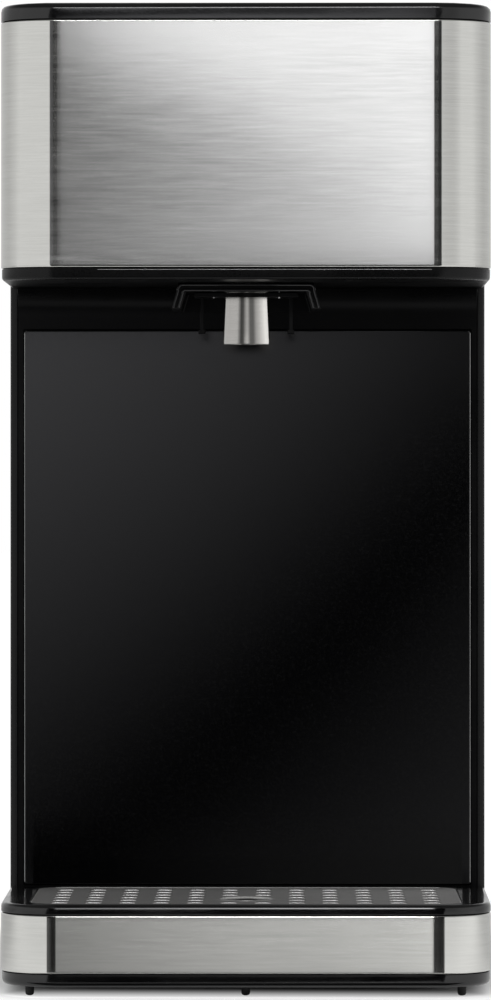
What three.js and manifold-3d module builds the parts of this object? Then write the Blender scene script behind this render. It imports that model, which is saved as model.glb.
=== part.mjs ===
// Instant hot water dispenser: a counter-top appliance with a removable water tank at the back,
// a flow heater and pump inside the column, and a drip tray under the spout.
// Millimetres, +Z up, the front faces -Y, and the floor is z = 0.

import * as THREE from "three";
import { mergeVertices } from "three/addons/utils/BufferGeometryUtils.js";
import Module from "manifold-3d";

const wasm = await Module();
wasm.setup();

// Overall sizes
const bodyWidth = 168;
const frontDraft = 0.4;
const overallDepth = 300;
const cornerRadius = 19.6;
const rearRadius = 22;
const reach = 95;
const columnDepth = 118;

// Heights of the bands that show, from the floor up
const footHeight = 3.5;
const panHeight = 4.3;
const baseBandHeight = 19.8;
const trayRimHeight = 3.2;
const cupHeight = 211.7;
const lipHeight = 3.9;
const headBandHeight = 83.8;
const topRimHeight = 5.4;

// Shared walls and clearances
const seatGap = 0.3;
const sheet = 0.8;
const wall = 2.2;
const coverWall = 2.5;
const frameThickness = 5;
const bayWall = 3;
const overrun = 1;

// Facets
const cornerSteps = 8;
const edgeSteps = 3;
const roundSides = 24;
const smallSides = 12;
const hoseSides = 8;

// The front is narrower than the body by its draft
const frontWidth = bodyWidth - 2 * frontDraft;

// Levels
const panTop = footHeight + panHeight;
const bandBottom = panTop + seatGap;
const bandTop = bandBottom + baseBandHeight;
const rimBottom = bandTop + seatGap;
const deckTop = rimBottom + trayRimHeight;
const headBottom = deckTop + cupHeight;
const lipTop = headBottom + lipHeight;
const headBandBottom = lipTop + seatGap;
const headBandTop = headBandBottom + headBandHeight;
const topRimBottom = headBandTop + seatGap;
const overallTop = topRimBottom + topRimHeight;

// Places along the depth, and half widths
const front = -overallDepth / 2;
const rear = overallDepth / 2;
const columnFace = front + reach;
const columnBack = columnFace + columnDepth;
const halfFront = frontWidth / 2;
const halfBody = bodyWidth / 2;
const innerHalf = halfBody - coverWall - seatGap;

// Colours, roughness and metalness of the materials
const steelLook = { color: 0xc9c9c6, roughness: 0.32, metalness: 1 };
const blackLook = { color: 0x141414, roughness: 0.42, metalness: 0 };
const glossLook = { color: 0x0a0a0b, roughness: 0.08, metalness: 0 };
const smokeLook = { color: 0x3a3f44, roughness: 0.08, metalness: 0 };
const rubberLook = { color: 0x1b1b1b, roughness: 0.8, metalness: 0 };
const siliconeLook = { color: 0xd9d6cc, roughness: 0.55, metalness: 0 };
const aluminiumLook = { color: 0xb9bcbe, roughness: 0.45, metalness: 1 };
const boardLook = { color: 0x1f5a34, roughness: 0.5, metalness: 0 };
const whiteLook = { color: 0xe4e4e0, roughness: 0.5, metalness: 0 };
const displayLook = { color: 0x101a20, roughness: 0.05, metalness: 0 };

// Points and solids

const at = (x, y, z) => new THREE.Vector3(x, y, z);

// A closed solid from a three.js geometry.
function solidOf(geometry) {
  const bare = geometry.index ? geometry.toNonIndexed() : geometry.clone();
  bare.deleteAttribute("normal");
  bare.deleteAttribute("uv");
  const merged = mergeVertices(bare, 1e-4);
  return new wasm.Manifold(
    new wasm.Mesh({
      numProp: 3,
      vertProperties: merged.attributes.position.array,
      triVerts: new Uint32Array(merged.index.array),
    }),
  );
}

// A named mesh of its own material from a solid.
function piece(name, solid, look) {
  const { vertProperties, triVerts } = solid.getMesh();
  const geometry = new THREE.BufferGeometry();
  geometry.setAttribute("position", new THREE.BufferAttribute(vertProperties, 3));
  geometry.setIndex(new THREE.BufferAttribute(triVerts, 1));
  geometry.computeVertexNormals();
  const mesh = new THREE.Mesh(geometry, new THREE.MeshStandardMaterial(look));
  mesh.name = name;
  return mesh;
}

const join = (first, ...others) => others.reduce((sum, s) => sum.add(s), first);
const cut = (first, ...others) => others.reduce((rest, s) => rest.subtract(s), first);

// A box between two levels on each axis.
function block(x0, x1, y0, y1, z0, z1) {
  const box = new THREE.BoxGeometry(x1 - x0, y1 - y0, z1 - z0);
  return solidOf(box.translate((x0 + x1) / 2, (y0 + y1) / 2, (z0 + z1) / 2));
}

// A round rod from one point to another, tapered when it gets a second radius.
function rod(radius, from, to, sides = roundSides, endRadius = radius) {
  const along = to.clone().sub(from);
  const geometry = new THREE.CylinderGeometry(endRadius, radius, along.length(), sides);
  const turn = new THREE.Quaternion().setFromUnitVectors(at(0, 1, 0), along.clone().normalize());
  const middle = from.clone().add(to).divideScalar(2);
  return solidOf(geometry.applyQuaternion(turn).translate(middle.x, middle.y, middle.z));
}

// A round tube from one point to another.
function tube(outer, inner, from, to, sides = roundSides) {
  const along = to.clone().sub(from).setLength(overrun);
  return cut(
    rod(outer, from, to, sides),
    rod(inner, from.clone().sub(along), to.clone().add(along), sides),
  );
}

// Points of an arc in plan, its angles in quarter turns.
function arc(centreX, centreY, radius, quarter, steps = cornerSteps) {
  return Array.from({ length: steps + 1 }, (_, i) => {
    const angle = ((quarter + i / steps) * Math.PI) / 2;
    return new THREE.Vector2(centreX + radius * Math.cos(angle), centreY + radius * Math.sin(angle));
  });
}

// A solid through closed outlines at rising levels, each with the same number of points.
function loft(rings) {
  const count = rings[0].points.length;
  const last = (rings.length - 1) * count;
  const positions = rings.flatMap(({ points, z }) => points.flatMap((p) => [p.x, p.y, z]));
  const caps = THREE.ShapeUtils.triangulateShape(rings[0].points, []);
  const index = caps.flatMap(([a, b, c]) => [c, b, a, last + a, last + b, last + c]);
  for (let ring = 0; ring < last; ring += count) {
    for (let i = 0; i < count; i += 1) {
      const next = (i + 1) % count;
      const [a, b] = [ring + i, ring + next];
      index.push(a, b, b + count, a, b + count, a + count);
    }
  }
  const geometry = new THREE.BufferGeometry();
  geometry.setAttribute("position", new THREE.Float32BufferAttribute(positions, 3));
  geometry.setIndex(index);
  return solidOf(geometry);
}

const prism = (points, bottom, top) => loft([
  { points, z: bottom },
  { points, z: top },
]);

// A slab of an outline that is a function of its inset, with its lower and upper edges rounded.
function slab(outline, inset, bottom, top, roundBelow, roundAbove) {
  const rings = [];
  const edge = (radius, level, up) => {
    const steps = radius > 0 ? edgeSteps : 0;
    for (let i = 0; i <= steps; i += 1) {
      const share = steps ? i / steps : 1;
      const angle = ((up > 0 ? share : 1 - share) * Math.PI) / 2;
      const drawnIn = radius * (1 - Math.sin(angle));
      rings.push({ points: outline(inset + drawnIn), z: level + up * radius * (1 - Math.cos(angle)) });
    }
  };
  edge(roundBelow, bottom, 1);
  edge(roundAbove, top, -1);
  return loft(rings);
}

// A solid of revolution about the z axis from pairs of radius and level, on the axis at both ends.
function turned(profile, sides = roundSides) {
  const points = profile.map(([radius, z]) => new THREE.Vector2(radius, z));
  return solidOf(new THREE.LatheGeometry(points, sides).rotateX(Math.PI / 2));
}

// A rounded rectangle in plan.
function roundedRectangle(x0, x1, y0, y1, radius, steps = cornerSteps / 2) {
  return [
    ...arc(x1 - radius, y0 + radius, radius, 3, steps),
    ...arc(x1 - radius, y1 - radius, radius, 0, steps),
    ...arc(x0 + radius, y1 - radius, radius, 1, steps),
    ...arc(x0 + radius, y0 + radius, radius, 2, steps),
  ];
}

// A hose along a route, with its bore.
function hose(outer, bore, route, steps) {
  const section = new THREE.Shape().absarc(0, 0, outer, 0, 2 * Math.PI);
  section.holes.push(new THREE.Path().absarc(0, 0, bore, 0, 2 * Math.PI, true));
  const extrudePath = new THREE.CatmullRomCurve3(route, false, "centripetal");
  const curveSegments = hoseSides / 2;
  return solidOf(
    new THREE.ExtrudeGeometry(section, { extrudePath, steps, curveSegments, bevelEnabled: false }),
  );
}

// Outlines of the body in plan

// The sides widen a little from the front corners back to the column's face.
function halfWidthAt(y) {
  const share = (y - front - cornerRadius) / (reach - cornerRadius);
  return THREE.MathUtils.lerp(halfFront, halfBody, THREE.MathUtils.clamp(share, 0, 1));
}

// The two rounded front corners, from left to right.
function frontCorners(inset) {
  const centreX = halfFront - cornerRadius;
  const centreY = front + cornerRadius;
  const radius = cornerRadius - inset;
  return [...arc(-centreX, centreY, radius, 2), ...arc(centreX, centreY, radius, 3)];
}

// The two rounded rear corners, from right to left.
function rearCorners(inset) {
  const centreX = halfBody - rearRadius;
  const centreY = rear - rearRadius;
  const radius = rearRadius - inset;
  return [...arc(centreX, centreY, radius, 0), ...arc(-centreX, centreY, radius, 1)];
}

// The front of the body as far back as a place ahead of the column's face.
function frontOutline(inset, back) {
  const side = halfWidthAt(back) - inset;
  return [
    new THREE.Vector2(-side, back),
    ...frontCorners(inset),
    new THREE.Vector2(side, back),
  ];
}

// The head and the column together, square at the back.
function headOutline(inset, back) {
  const side = halfBody - inset;
  return [
    new THREE.Vector2(-side, back - inset),
    new THREE.Vector2(-side, columnFace),
    ...frontCorners(inset),
    new THREE.Vector2(side, columnFace),
    new THREE.Vector2(side, back - inset),
  ];
}

// The whole footprint.
function footprint(inset) {
  const side = halfBody - inset;
  return [
    new THREE.Vector2(-side, columnFace),
    ...frontCorners(inset),
    new THREE.Vector2(side, columnFace),
    ...rearCorners(inset),
  ];
}

// The tank's space behind the column.
function tankOutline(inset, ahead) {
  const side = halfBody - inset;
  return [
    ...rearCorners(inset),
    new THREE.Vector2(-side, ahead + inset),
    new THREE.Vector2(side, ahead + inset),
  ];
}

// Screws and feet, each in its own frame with its seat at z = 0

const screwHeadRadius = 3;
const screwHeadHeight = 1.6;
const screwShank = 1.4;
const screwLength = 4.4;
const headScrewLength = 9;
const headRecess = 0.6;
const slotWidth = 0.8;
const slotDepth = 0.8;
const screwBore = screwShank + seatGap;
const screwSink = screwHeadRadius + seatGap;

// A screw driven upwards, its head below its seat.
function screw(length) {
  const half = slotWidth / 2;
  const low = -screwHeadHeight;
  const across = block(-screwHeadRadius, screwHeadRadius, -half, half, low - overrun, low + slotDepth);
  return cut(
    join(
      rod(screwHeadRadius, at(0, 0, low), at(0, 0, 0), smallSides),
      rod(screwShank, at(0, 0, low / 2), at(0, 0, length), smallSides),
    ),
    across,
  );
}

const footPlate = 4;
const footTip = 1.5;
const footPlateHeight = 0.9;
const footStud = 1.6;
const footStudHeight = 1.7;
const footBore = footStud + seatGap;
const footSink = 1.3;
const footSeat = footHeight + footSink - seatGap;

// A rubber foot pushed into the pan from below, its plate in the pan's recess.
function foot() {
  const sole = -footSeat;
  const plate = -footPlateHeight;
  return turned([
    [0, sole],
    [footTip, sole],
    [footTip, plate],
    [footPlate, plate],
    [footPlate, 0],
    [footStud, 0],
    [footStud, footStudHeight],
    [0, footStudHeight],
  ], smallSides);
}

const footInset = 10.1;
const footFrontSetback = 12;
const footRearSetback = 20;
const footPlaces = {
  foot_front_left: [-(halfFront - footInset), front + footFrontSetback],
  foot_front_centre: [0, front + footFrontSetback],
  foot_front_right: [halfFront - footInset, front + footFrontSetback],
  foot_rear_left: [-(halfBody - rearRadius), rear - footRearSetback],
  foot_rear_right: [halfBody - rearRadius, rear - footRearSetback],
};

const screwSpread = 96;
const screwFrontSetback = 26;
const screwRearSetback = 12;
const screwPlaces = {
  base_screw_front_left: [-screwSpread / 2, front + screwFrontSetback],
  base_screw_front_right: [screwSpread / 2, front + screwFrontSetback],
  base_screw_rear_left: [-screwSpread / 2, rear - screwRearSetback],
  base_screw_rear_right: [screwSpread / 2, rear - screwRearSetback],
};

// Base: pan, housing and steel band

const panFloor = 3;
const panInset = 0.3;
const panRound = 1.8;
const ventCount = 9;
const ventPitch = 9;
const ventWidth = 3.2;
const ventLength = 46;
const screwSeat = footHeight + headRecess + screwHeadHeight;
const bossRadius = 4.2;
const bossBottom = footHeight + panFloor + seatGap;

function basePan() {
  const pocket = prism(footprint(panInset + wall), footHeight + panFloor, panTop + overrun);
  const shell = cut(slab(footprint, panInset, footHeight, panTop, panRound, 0), pocket);
  const screwHoles = Object.values(screwPlaces).flatMap(([x, y]) => [
    rod(screwBore, at(x, y, 0), at(x, y, panTop), smallSides),
    rod(screwSink, at(x, y, 0), at(x, y, screwSeat), smallSides),
  ]);
  const footHoles = Object.values(footPlaces).flatMap(([x, y]) => [
    rod(footBore, at(x, y, 0), at(x, y, panTop), smallSides),
    rod(footPlate + seatGap, at(x, y, 0), at(x, y, footSeat + seatGap), smallSides),
  ]);
  const ventMiddle = (columnFace + columnBack) / 2;
  const vents = Array.from({ length: ventCount }, (_, i) => {
    const x = (i - (ventCount - 1) / 2) * ventPitch;
    const [y0, y1] = [ventMiddle - ventLength / 2, ventMiddle + ventLength / 2];
    return block(x - ventWidth / 2, x + ventWidth / 2, y0, y1, 0, panTop);
  });
  return cut(shell, ...screwHoles, ...footHoles, ...vents);
}

const trayRimRear = 1.6;
const trayRunGap = 0.4;
const panelProud = 0.8;
const trayBack = columnFace - panelProud - trayRunGap;
const wellBack = trayBack - trayRimRear;
const housingFloor = bandBottom + coverWall;
const bayWallBack = columnBack - seatGap;
const bayWallFront = bayWallBack - bayWall;
const hoseOuter = 3.6;
const hoseBore = 2.3;
const stubOuter = 1.9;
const stubBore = 1.1;
const hoseLevel = 21.5;
const hosePass = hoseOuter + 2 * seatGap;

// Bosses that take the base screws, hanging below a floor or a deck.
const screwBosses = (places, top) => places.map(([x, y]) => {
  const boreTop = screwSeat + screwLength + seatGap;
  return {
    boss: rod(bossRadius, at(x, y, bossBottom), at(x, y, top), smallSides),
    bore: rod(screwBore, at(x, y, bossBottom - overrun), at(x, y, boreTop), smallSides),
  };
});

function baseHousing() {
  const skin = sheet + seatGap;
  const ahead = prism(frontOutline(skin, columnFace - seatGap), bandBottom, bandTop);
  const behind = block(
    -innerHalf, innerHalf,
    columnFace - seatGap - overrun, bayWallBack,
    bandBottom, bandTop,
  );
  const well = prism(frontOutline(skin + wall, wellBack), housingFloor, bandTop + overrun);
  const pocket = block(
    wall - innerHalf, innerHalf - wall,
    columnFace + frameThickness, bayWallFront,
    housingFloor, bandTop + overrun,
  );
  const hoseStart = at(0, bayWallFront - overrun, hoseLevel);
  const hoseHole = rod(hosePass, hoseStart, at(0, rear, hoseLevel), smallSides);
  const ventMiddle = (columnFace + columnBack) / 2;
  const ventSpan = (ventCount * ventPitch) / 2;
  const airWay = block(
    -ventSpan, ventSpan,
    ventMiddle - ventLength / 2, ventMiddle - ventLength / 4,
    0, housingFloor + overrun,
  );
  const places = [screwPlaces.base_screw_front_left, screwPlaces.base_screw_front_right];
  const bosses = screwBosses(places, housingFloor);
  return cut(
    join(cut(join(ahead, behind), well, pocket), ...bosses.map(({ boss }) => boss)),
    hoseHole, airWay, ...bosses.map(({ bore }) => bore),
  );
}

// A steel sheet bent round the front corners, open at the back.
function wrap(bottom, top) {
  const back = columnFace - seatGap;
  return cut(
    prism(frontOutline(0, back), bottom, top),
    prism(frontOutline(sheet, back + overrun), bottom - overrun, top + overrun),
  );
}

// Drip tray and its grille

const grilleMargin = 10.1;
const grilleSetback = 8;
const grilleThickness = 1;
const grilleSunk = 0.4;
const grilleRadius = 10;
const grilleLedge = 2.4;
const trayWall = 1.8;
const trayFloorGap = 0.8;
const trayRound = 1.3;
const grilleWidth = frontWidth - 2 * grilleMargin;
const grilleTop = deckTop - grilleSunk;
const grilleBottom = grilleTop - grilleThickness;
const grilleFront = front + grilleSetback;
const grilleBack = wellBack - seatGap;

// The grille's outline grown or shrunk by an amount.
const grilleOutline = (grow) => roundedRectangle(
  -grilleWidth / 2 - grow, grilleWidth / 2 + grow,
  grilleFront - grow, grilleBack + grow,
  grilleRadius + grow,
);

function dripTray() {
  const rim = slab((inset) => frontOutline(inset, trayBack), 0, rimBottom, deckTop, 0, trayRound);
  const bowlBottom = housingFloor + trayFloorGap;
  const bowl = prism(grilleOutline(trayWall - grilleLedge), bowlBottom, rimBottom + overrun);
  const inside = prism(grilleOutline(-grilleLedge), bowlBottom + trayWall, deckTop + overrun);
  const recess = prism(grilleOutline(seatGap), grilleBottom - seatGap, deckTop + overrun);
  return cut(join(rim, bowl), inside, recess);
}

const slotColumns = 12;
const slotRows = 6;
const slotPitchX = 11.6;
const slotPitchY = 12.6;
const slotSizeX = 5.4;
const slotSizeY = 6.4;
const slotRadius = 1.2;
const firstRowSetback = 18.5;
const fingerRadius = 9;
const collarWall = 1.2;
const collarHeight = 0.6;
const fingerY = front + firstRowSetback + slotPitchY + slotPitchY / 2;

function dripGrille() {
  const plate = prism(grilleOutline(0), grilleBottom, grilleTop);
  const collarTop = grilleTop + collarHeight;
  const collar = rod(fingerRadius + collarWall, at(0, fingerY, grilleBottom), at(0, fingerY, collarTop));
  const fingerHole = rod(
    fingerRadius,
    at(0, fingerY, grilleBottom - overrun), at(0, fingerY, deckTop + overrun),
  );
  const holes = [];
  for (let row = 0; row < slotRows; row += 1) {
    for (let column = 0; column < slotColumns; column += 1) {
      const x = (column - (slotColumns - 1) / 2) * slotPitchX;
      const y = front + firstRowSetback + row * slotPitchY;
      const clearOfCollar = Math.abs(y - fingerY) > fingerRadius + collarWall
        || Math.abs(x) > fingerRadius + collarWall + slotSizeX / 2;
      if (clearOfCollar) {
        const outline = roundedRectangle(
          x - slotSizeX / 2, x + slotSizeX / 2,
          y - slotSizeY / 2, y + slotSizeY / 2,
          slotRadius, 1,
        );
        holes.push(prism(outline, grilleBottom - overrun, grilleTop + overrun));
      }
    }
  }
  return cut(join(plate, collar), fingerHole, ...holes);
}

// Column: front frame, gloss panel, side covers and the wall towards the tank

const panelMargin = 5;
const panelTopLevel = 228.3;
const panelThickness = 3;
const panelRadius = 1.2;
const panelWidth = bodyWidth - 2 * panelMargin;
const panelBottom = deckTop + 2 * seatGap;
const coveRadius = 10;
const columnFloor = bandTop + seatGap;
const frameTop = headBottom - seatGap;

function frontFrame() {
  const plateBack = columnFace + frameThickness;
  const plate = block(-innerHalf, innerHalf, columnFace, plateBack, columnFloor, frameTop);
  const coveBottom = frameTop - coveRadius;
  const corner = block(
    -innerHalf, innerHalf,
    columnFace - coveRadius, columnFace + wall,
    coveBottom, frameTop,
  );
  const hollow = rod(
    coveRadius,
    at(-halfBody, columnFace - coveRadius, coveBottom),
    at(halfBody, columnFace - coveRadius, coveBottom),
  );
  const lip = block(
    -innerHalf, innerHalf,
    columnFace - coveRadius - overrun, columnFace - coveRadius + sheet,
    coveBottom, frameTop + overrun,
  );
  const cove = cut(corner, hollow, lip);
  const recess = block(
    -panelWidth / 2 - seatGap, panelWidth / 2 + seatGap,
    columnFace - overrun, columnFace - panelProud + panelThickness + seatGap,
    panelBottom - seatGap, panelTopLevel + seatGap,
  );
  return cut(join(plate, cove), recess);
}

// A flat glossy panel, extruded from its upright outline.
function frontPanel() {
  const half = panelWidth / 2;
  const outline = roundedRectangle(-half, half, panelBottom, panelTopLevel, panelRadius, 2);
  const geometry = new THREE.ExtrudeGeometry(new THREE.Shape(outline), {
    depth: panelThickness,
    bevelEnabled: false,
  });
  return solidOf(geometry.rotateX(Math.PI / 2).translate(0, columnFace - panelProud + panelThickness, 0));
}

const coverEdge = 1.6;
const boardMargin = 15.7;
const boardHeight = 130;
const boardThickness = 1.6;
const boardStandOff = 9;
const boardBottom = 60;
const railDepth = 3;
const railWidth = 6;
const railReach = boardStandOff + boardThickness + 2 * wall;
const boardFront = columnFace + frameThickness + railWidth;
const boardWidth = bayWallFront - boardFront - boardMargin;

// A side cover's wall on the left, with its outer edges rounded.
function sideCover() {
  const [x0, x1] = [-halfBody, -halfBody + coverWall];
  const outline = [
    ...arc(x0 + coverEdge, columnFace + coverEdge, coverEdge, 2, edgeSteps),
    new THREE.Vector2(x1, columnFace),
    new THREE.Vector2(x1, bayWallBack),
    ...arc(x0 + coverEdge, bayWallBack - coverEdge, coverEdge, 1, edgeSteps),
  ];
  return prism(outline, bandBottom, headBandTop);
}

// The left cover carries the power board in two grooved rails.
function leftSideCover() {
  const inner = -halfBody + coverWall;
  const boardTop = boardBottom + boardHeight;
  const rail = (y0, y1) => block(inner - overrun, inner + railReach, y0, y1, boardBottom, boardTop);
  const boardX = inner + boardStandOff;
  const groove = block(
    boardX - seatGap, boardX + boardThickness + seatGap,
    boardFront - seatGap, boardFront + boardWidth + seatGap,
    boardBottom - overrun, boardTop + overrun,
  );
  const rails = [
    rail(boardFront - railWidth + railDepth, boardFront + railDepth),
    rail(boardFront + boardWidth - railDepth, boardFront + boardWidth + railWidth - railDepth),
  ];
  const stop = block(
    inner - overrun, inner + railReach,
    boardFront, boardFront + boardWidth,
    boardBottom - wall, boardBottom - seatGap,
  );
  return join(sideCover(), cut(join(...rails), groove), stop);
}

// The right cover is the mirror image, with plain stiffening ribs.
function rightSideCover() {
  const ribCount = 3;
  const ribDepth = 3 * wall;
  const inner = -halfBody + coverWall;
  const span = bayWallFront - columnFace - frameThickness;
  const ribs = Array.from({ length: ribCount }, (_, i) => {
    const y = columnFace + frameThickness + ((i + 1) * span) / (ribCount + 1);
    return block(inner - overrun, inner + ribDepth, y, y + wall, columnFloor, headBandTop - ribDepth);
  });
  return join(sideCover(), ...ribs).mirror([1, 0, 0]);
}

// Heater, on standoffs in front of the wall towards the tank

const heaterWidth = 60;
const heaterDepth = 16;
const heaterHeight = 130;
const heaterX = 17.5;
const heaterBottom = 100;
const heaterStandOff = 12.4;
const heaterTubeRadius = 9;
const heaterTubeSpread = 36;
const stubLength = 9;
const standoffRadius = 4;
const standoffInset = 7;
const heaterBack = bayWallFront - heaterStandOff;
const heaterFront = heaterBack - heaterDepth;
const heaterTop = heaterBottom + heaterHeight;
const heaterInlet = at(heaterX + heaterTubeSpread / 2, heaterFront + heaterDepth / 2, heaterBottom);
const heaterOutlet = at(heaterX - heaterTubeSpread / 2, heaterFront + heaterDepth / 2, heaterTop);

function tankBayWall() {
  const plate = block(-innerHalf, innerHalf, bayWallFront, bayWallBack, columnFloor, headBandTop);
  const levels = [heaterBottom + standoffInset, heaterTop - standoffInset];
  const standoffs = [-1, 1].flatMap((sideX) => levels.map((z) => {
    const x = heaterX + sideX * (heaterWidth / 2 - standoffInset);
    const wallEnd = at(x, bayWallFront + overrun, z);
    return rod(standoffRadius, at(x, heaterBack + seatGap, z), wallEnd, smallSides);
  }));
  const coverFlange = [-1, 1].map((side) => {
    const outer = side * innerHalf;
    const inner = side * (innerHalf - wall);
    return block(
      Math.min(outer, inner), Math.max(outer, inner),
      bayWallFront - 4 * wall, bayWallFront + overrun,
      columnFloor, headBandTop,
    );
  });
  return join(plate, ...standoffs, ...coverFlange);
}

// A cast block round two heating tubes, with a water stub at the foot and the head.
function heaterBlock() {
  const slabBody = block(
    heaterX - heaterWidth / 2, heaterX + heaterWidth / 2,
    heaterFront, heaterBack, heaterBottom, heaterTop,
  );
  const tubes = [-1, 1].map((side) => {
    const x = heaterX + (side * heaterTubeSpread) / 2;
    const tubeTop = at(x, heaterFront, heaterTop);
    return rod(heaterTubeRadius, at(x, heaterFront, heaterBottom), tubeTop, smallSides);
  });
  const stubs = [[heaterInlet, -stubLength], [heaterOutlet, stubLength]].map(([p, run]) => ({
    outer: rod(stubOuter, p.clone(), at(p.x, p.y, p.z + run), hoseSides),
    bore: rod(stubBore, at(p.x, p.y, p.z - run), at(p.x, p.y, p.z + 2 * run), hoseSides),
  }));
  return cut(join(slabBody, ...tubes, ...stubs.map((s) => s.outer)), ...stubs.map((s) => s.bore));
}

const sensorRadius = 3;
const sensorLength = 9;
const sensorHeightShare = 0.8;
const cutoutRadius = 8;
const cutoutHeight = 6;
const cutoutTab = 5;
const cutoutHeightShare = 0.42;

// A sensor or cut-out standing on the face of the heater, between its tubes.
function temperatureSensor() {
  return turned([
    [0, 0],
    [sensorRadius * 2, 0],
    [sensorRadius * 2, sensorLength / 4],
    [sensorRadius, sensorLength / 4],
    [sensorRadius, sensorLength],
    [0, sensorLength],
  ], smallSides);
}

function thermalCutout() {
  const tabs = [-1, 1].map((side) => block(
    side * cutoutRadius / 2 - sheet, side * cutoutRadius / 2 + sheet,
    -cutoutTab / 2, cutoutTab / 2,
    cutoutHeight - overrun, cutoutHeight + cutoutTab,
  ));
  return join(rod(cutoutRadius, at(0, 0, 0), at(0, 0, cutoutHeight), smallSides), ...tabs);
}

// Pump: motor, head, eccentric shaft and rubber cradle, in its own frame along +Y from the motor's end

const pumpSetback = 39;
const pumpX = halfBody - pumpSetback;
const motorRadius = 14;
const motorLength = 38;
const pumpHeadRadius = 18;
const pumpHeadLength = 20;
const pumpFloorGap = 3;
const pumpFrontGap = 4;
const pumpFront = columnFace + frameThickness + pumpFrontGap;
const pumpAxis = housingFloor + pumpFloorGap + pumpHeadRadius;
const pumpHeadStart = motorLength + seatGap;
const pumpHeadEnd = pumpHeadStart + pumpHeadLength;
const pumpPortDrop = 8;
const chamberRadius = 12;
const chamberLength = 13;
const shaftRadius = 1.6;
const shaftSeat = 12;
const camRadius = 7;
const camOffset = 2.5;
const camLength = 9;
const motorRound = 3;

function pumpMotor() {
  const can = rod(motorRadius, at(0, motorRound, 0), at(0, motorLength, 0));
  const cap = rod(motorRadius - motorRound, at(0, 0, 0), at(0, motorRound, 0), roundSides, motorRadius);
  const bore = rod(
    shaftRadius + seatGap,
    at(0, motorLength - shaftSeat, 0), at(0, motorLength + overrun, 0),
    smallSides,
  );
  return cut(join(can, cap), bore);
}

// The stubs' places on the pump's head, in the pump's frame.
const pumpInlet = at(0, pumpHeadEnd, -pumpPortDrop);
const pumpOutlet = at(0, pumpHeadStart + chamberLength / 2, pumpHeadRadius);

function pumpHead() {
  const body = rod(pumpHeadRadius, at(0, pumpHeadStart, 0), at(0, pumpHeadEnd, 0));
  const chamberEnd = at(0, pumpHeadStart + chamberLength, 0);
  const chamber = rod(chamberRadius, at(0, pumpHeadStart - overrun, 0), chamberEnd);
  const inletEnd = at(pumpInlet.x, pumpInlet.y + stubLength, pumpInlet.z);
  const outletEnd = at(pumpOutlet.x, pumpOutlet.y, pumpOutlet.z + stubLength);
  const stubs = [
    rod(stubOuter, at(pumpInlet.x, pumpInlet.y - overrun, pumpInlet.z), inletEnd, hoseSides),
    rod(stubOuter, at(pumpOutlet.x, pumpOutlet.y, pumpOutlet.z - overrun), outletEnd, hoseSides),
  ];
  const bores = [
    rod(
      stubBore,
      at(0, pumpHeadStart + camLength, pumpInlet.z), at(0, inletEnd.y + overrun, pumpInlet.z),
      hoseSides,
    ),
    rod(stubBore, at(0, pumpOutlet.y, 0), at(0, pumpOutlet.y, outletEnd.z + overrun), hoseSides),
  ];
  return cut(join(body, ...stubs), chamber, ...bores);
}

// The motor's shaft with the eccentric that works the diaphragm.
function pumpShaft() {
  const cam = rod(
    camRadius,
    at(camOffset, pumpHeadStart + seatGap, 0),
    at(camOffset, pumpHeadStart + seatGap + camLength, 0),
    smallSides,
  );
  const shaft = rod(
    shaftRadius,
    at(0, motorLength - shaftSeat + seatGap, 0),
    at(0, pumpHeadStart + camLength, 0),
    smallSides,
  );
  return join(shaft, cam);
}

const cradleHalf = 16;
const cradleMargin = 4;

function pumpCradle() {
  const bottom = housingFloor + seatGap - pumpAxis;
  const body = block(
    -cradleHalf, cradleHalf,
    cradleMargin, motorLength - cradleMargin,
    bottom, -motorRadius / 3,
  );
  return cut(body, rod(motorRadius + seatGap, at(0, 0, 0), at(0, motorLength, 0)));
}

// Flow meter: a cup with a paddle wheel on a pin, in its own frame with its foot at z = 0

const meterRadius = 14;
const meterWall = 2;
const meterHeight = 18;
const meterSetback = 21.7;
const meterCapHeight = 2.4;
const wheelHub = 2.8;
const wheelPin = 1;
const wheelRadius = 10.5;
const wheelHeight = 9;
const bladeCount = 6;
const bladeThickness = 1.2;
const meterY = bayWallFront - meterSetback;
const meterLift = housingFloor + seatGap;
const meterStubLevel = hoseLevel - meterLift;

function flowMeterBody() {
  const floor = at(0, 0, meterWall);
  const cup = cut(
    rod(meterRadius, at(0, 0, 0), at(0, 0, meterHeight)),
    rod(meterRadius - meterWall, floor, at(0, 0, meterHeight + overrun)),
  );
  const pin = rod(wheelPin, at(0, 0, meterWall / 2), at(0, 0, meterHeight - seatGap), smallSides);
  const ways = [at(0, 1, 0), at(1, 0, 0)].map((way) => {
    const along = (distance) => at(0, 0, meterStubLevel).addScaledVector(way, distance);
    const end = meterRadius + stubLength;
    return {
      stub: rod(stubOuter, along(meterRadius - meterWall / 2), along(end), hoseSides),
      bore: rod(stubBore, along(wheelRadius), along(end + overrun), hoseSides),
    };
  });
  return cut(join(cup, pin, ...ways.map((w) => w.stub)), ...ways.map((w) => w.bore));
}

function flowMeterCap() {
  const top = meterHeight + seatGap;
  const plugBottom = at(0, 0, meterHeight - meterWall / 2);
  const plug = rod(meterRadius - meterWall - seatGap, plugBottom, at(0, 0, top));
  const pinHole = rod(wheelPin + seatGap, at(0, 0, 0), at(0, 0, top), smallSides);
  return cut(join(rod(meterRadius, at(0, 0, top), at(0, 0, top + meterCapHeight)), plug), pinHole);
}

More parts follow.
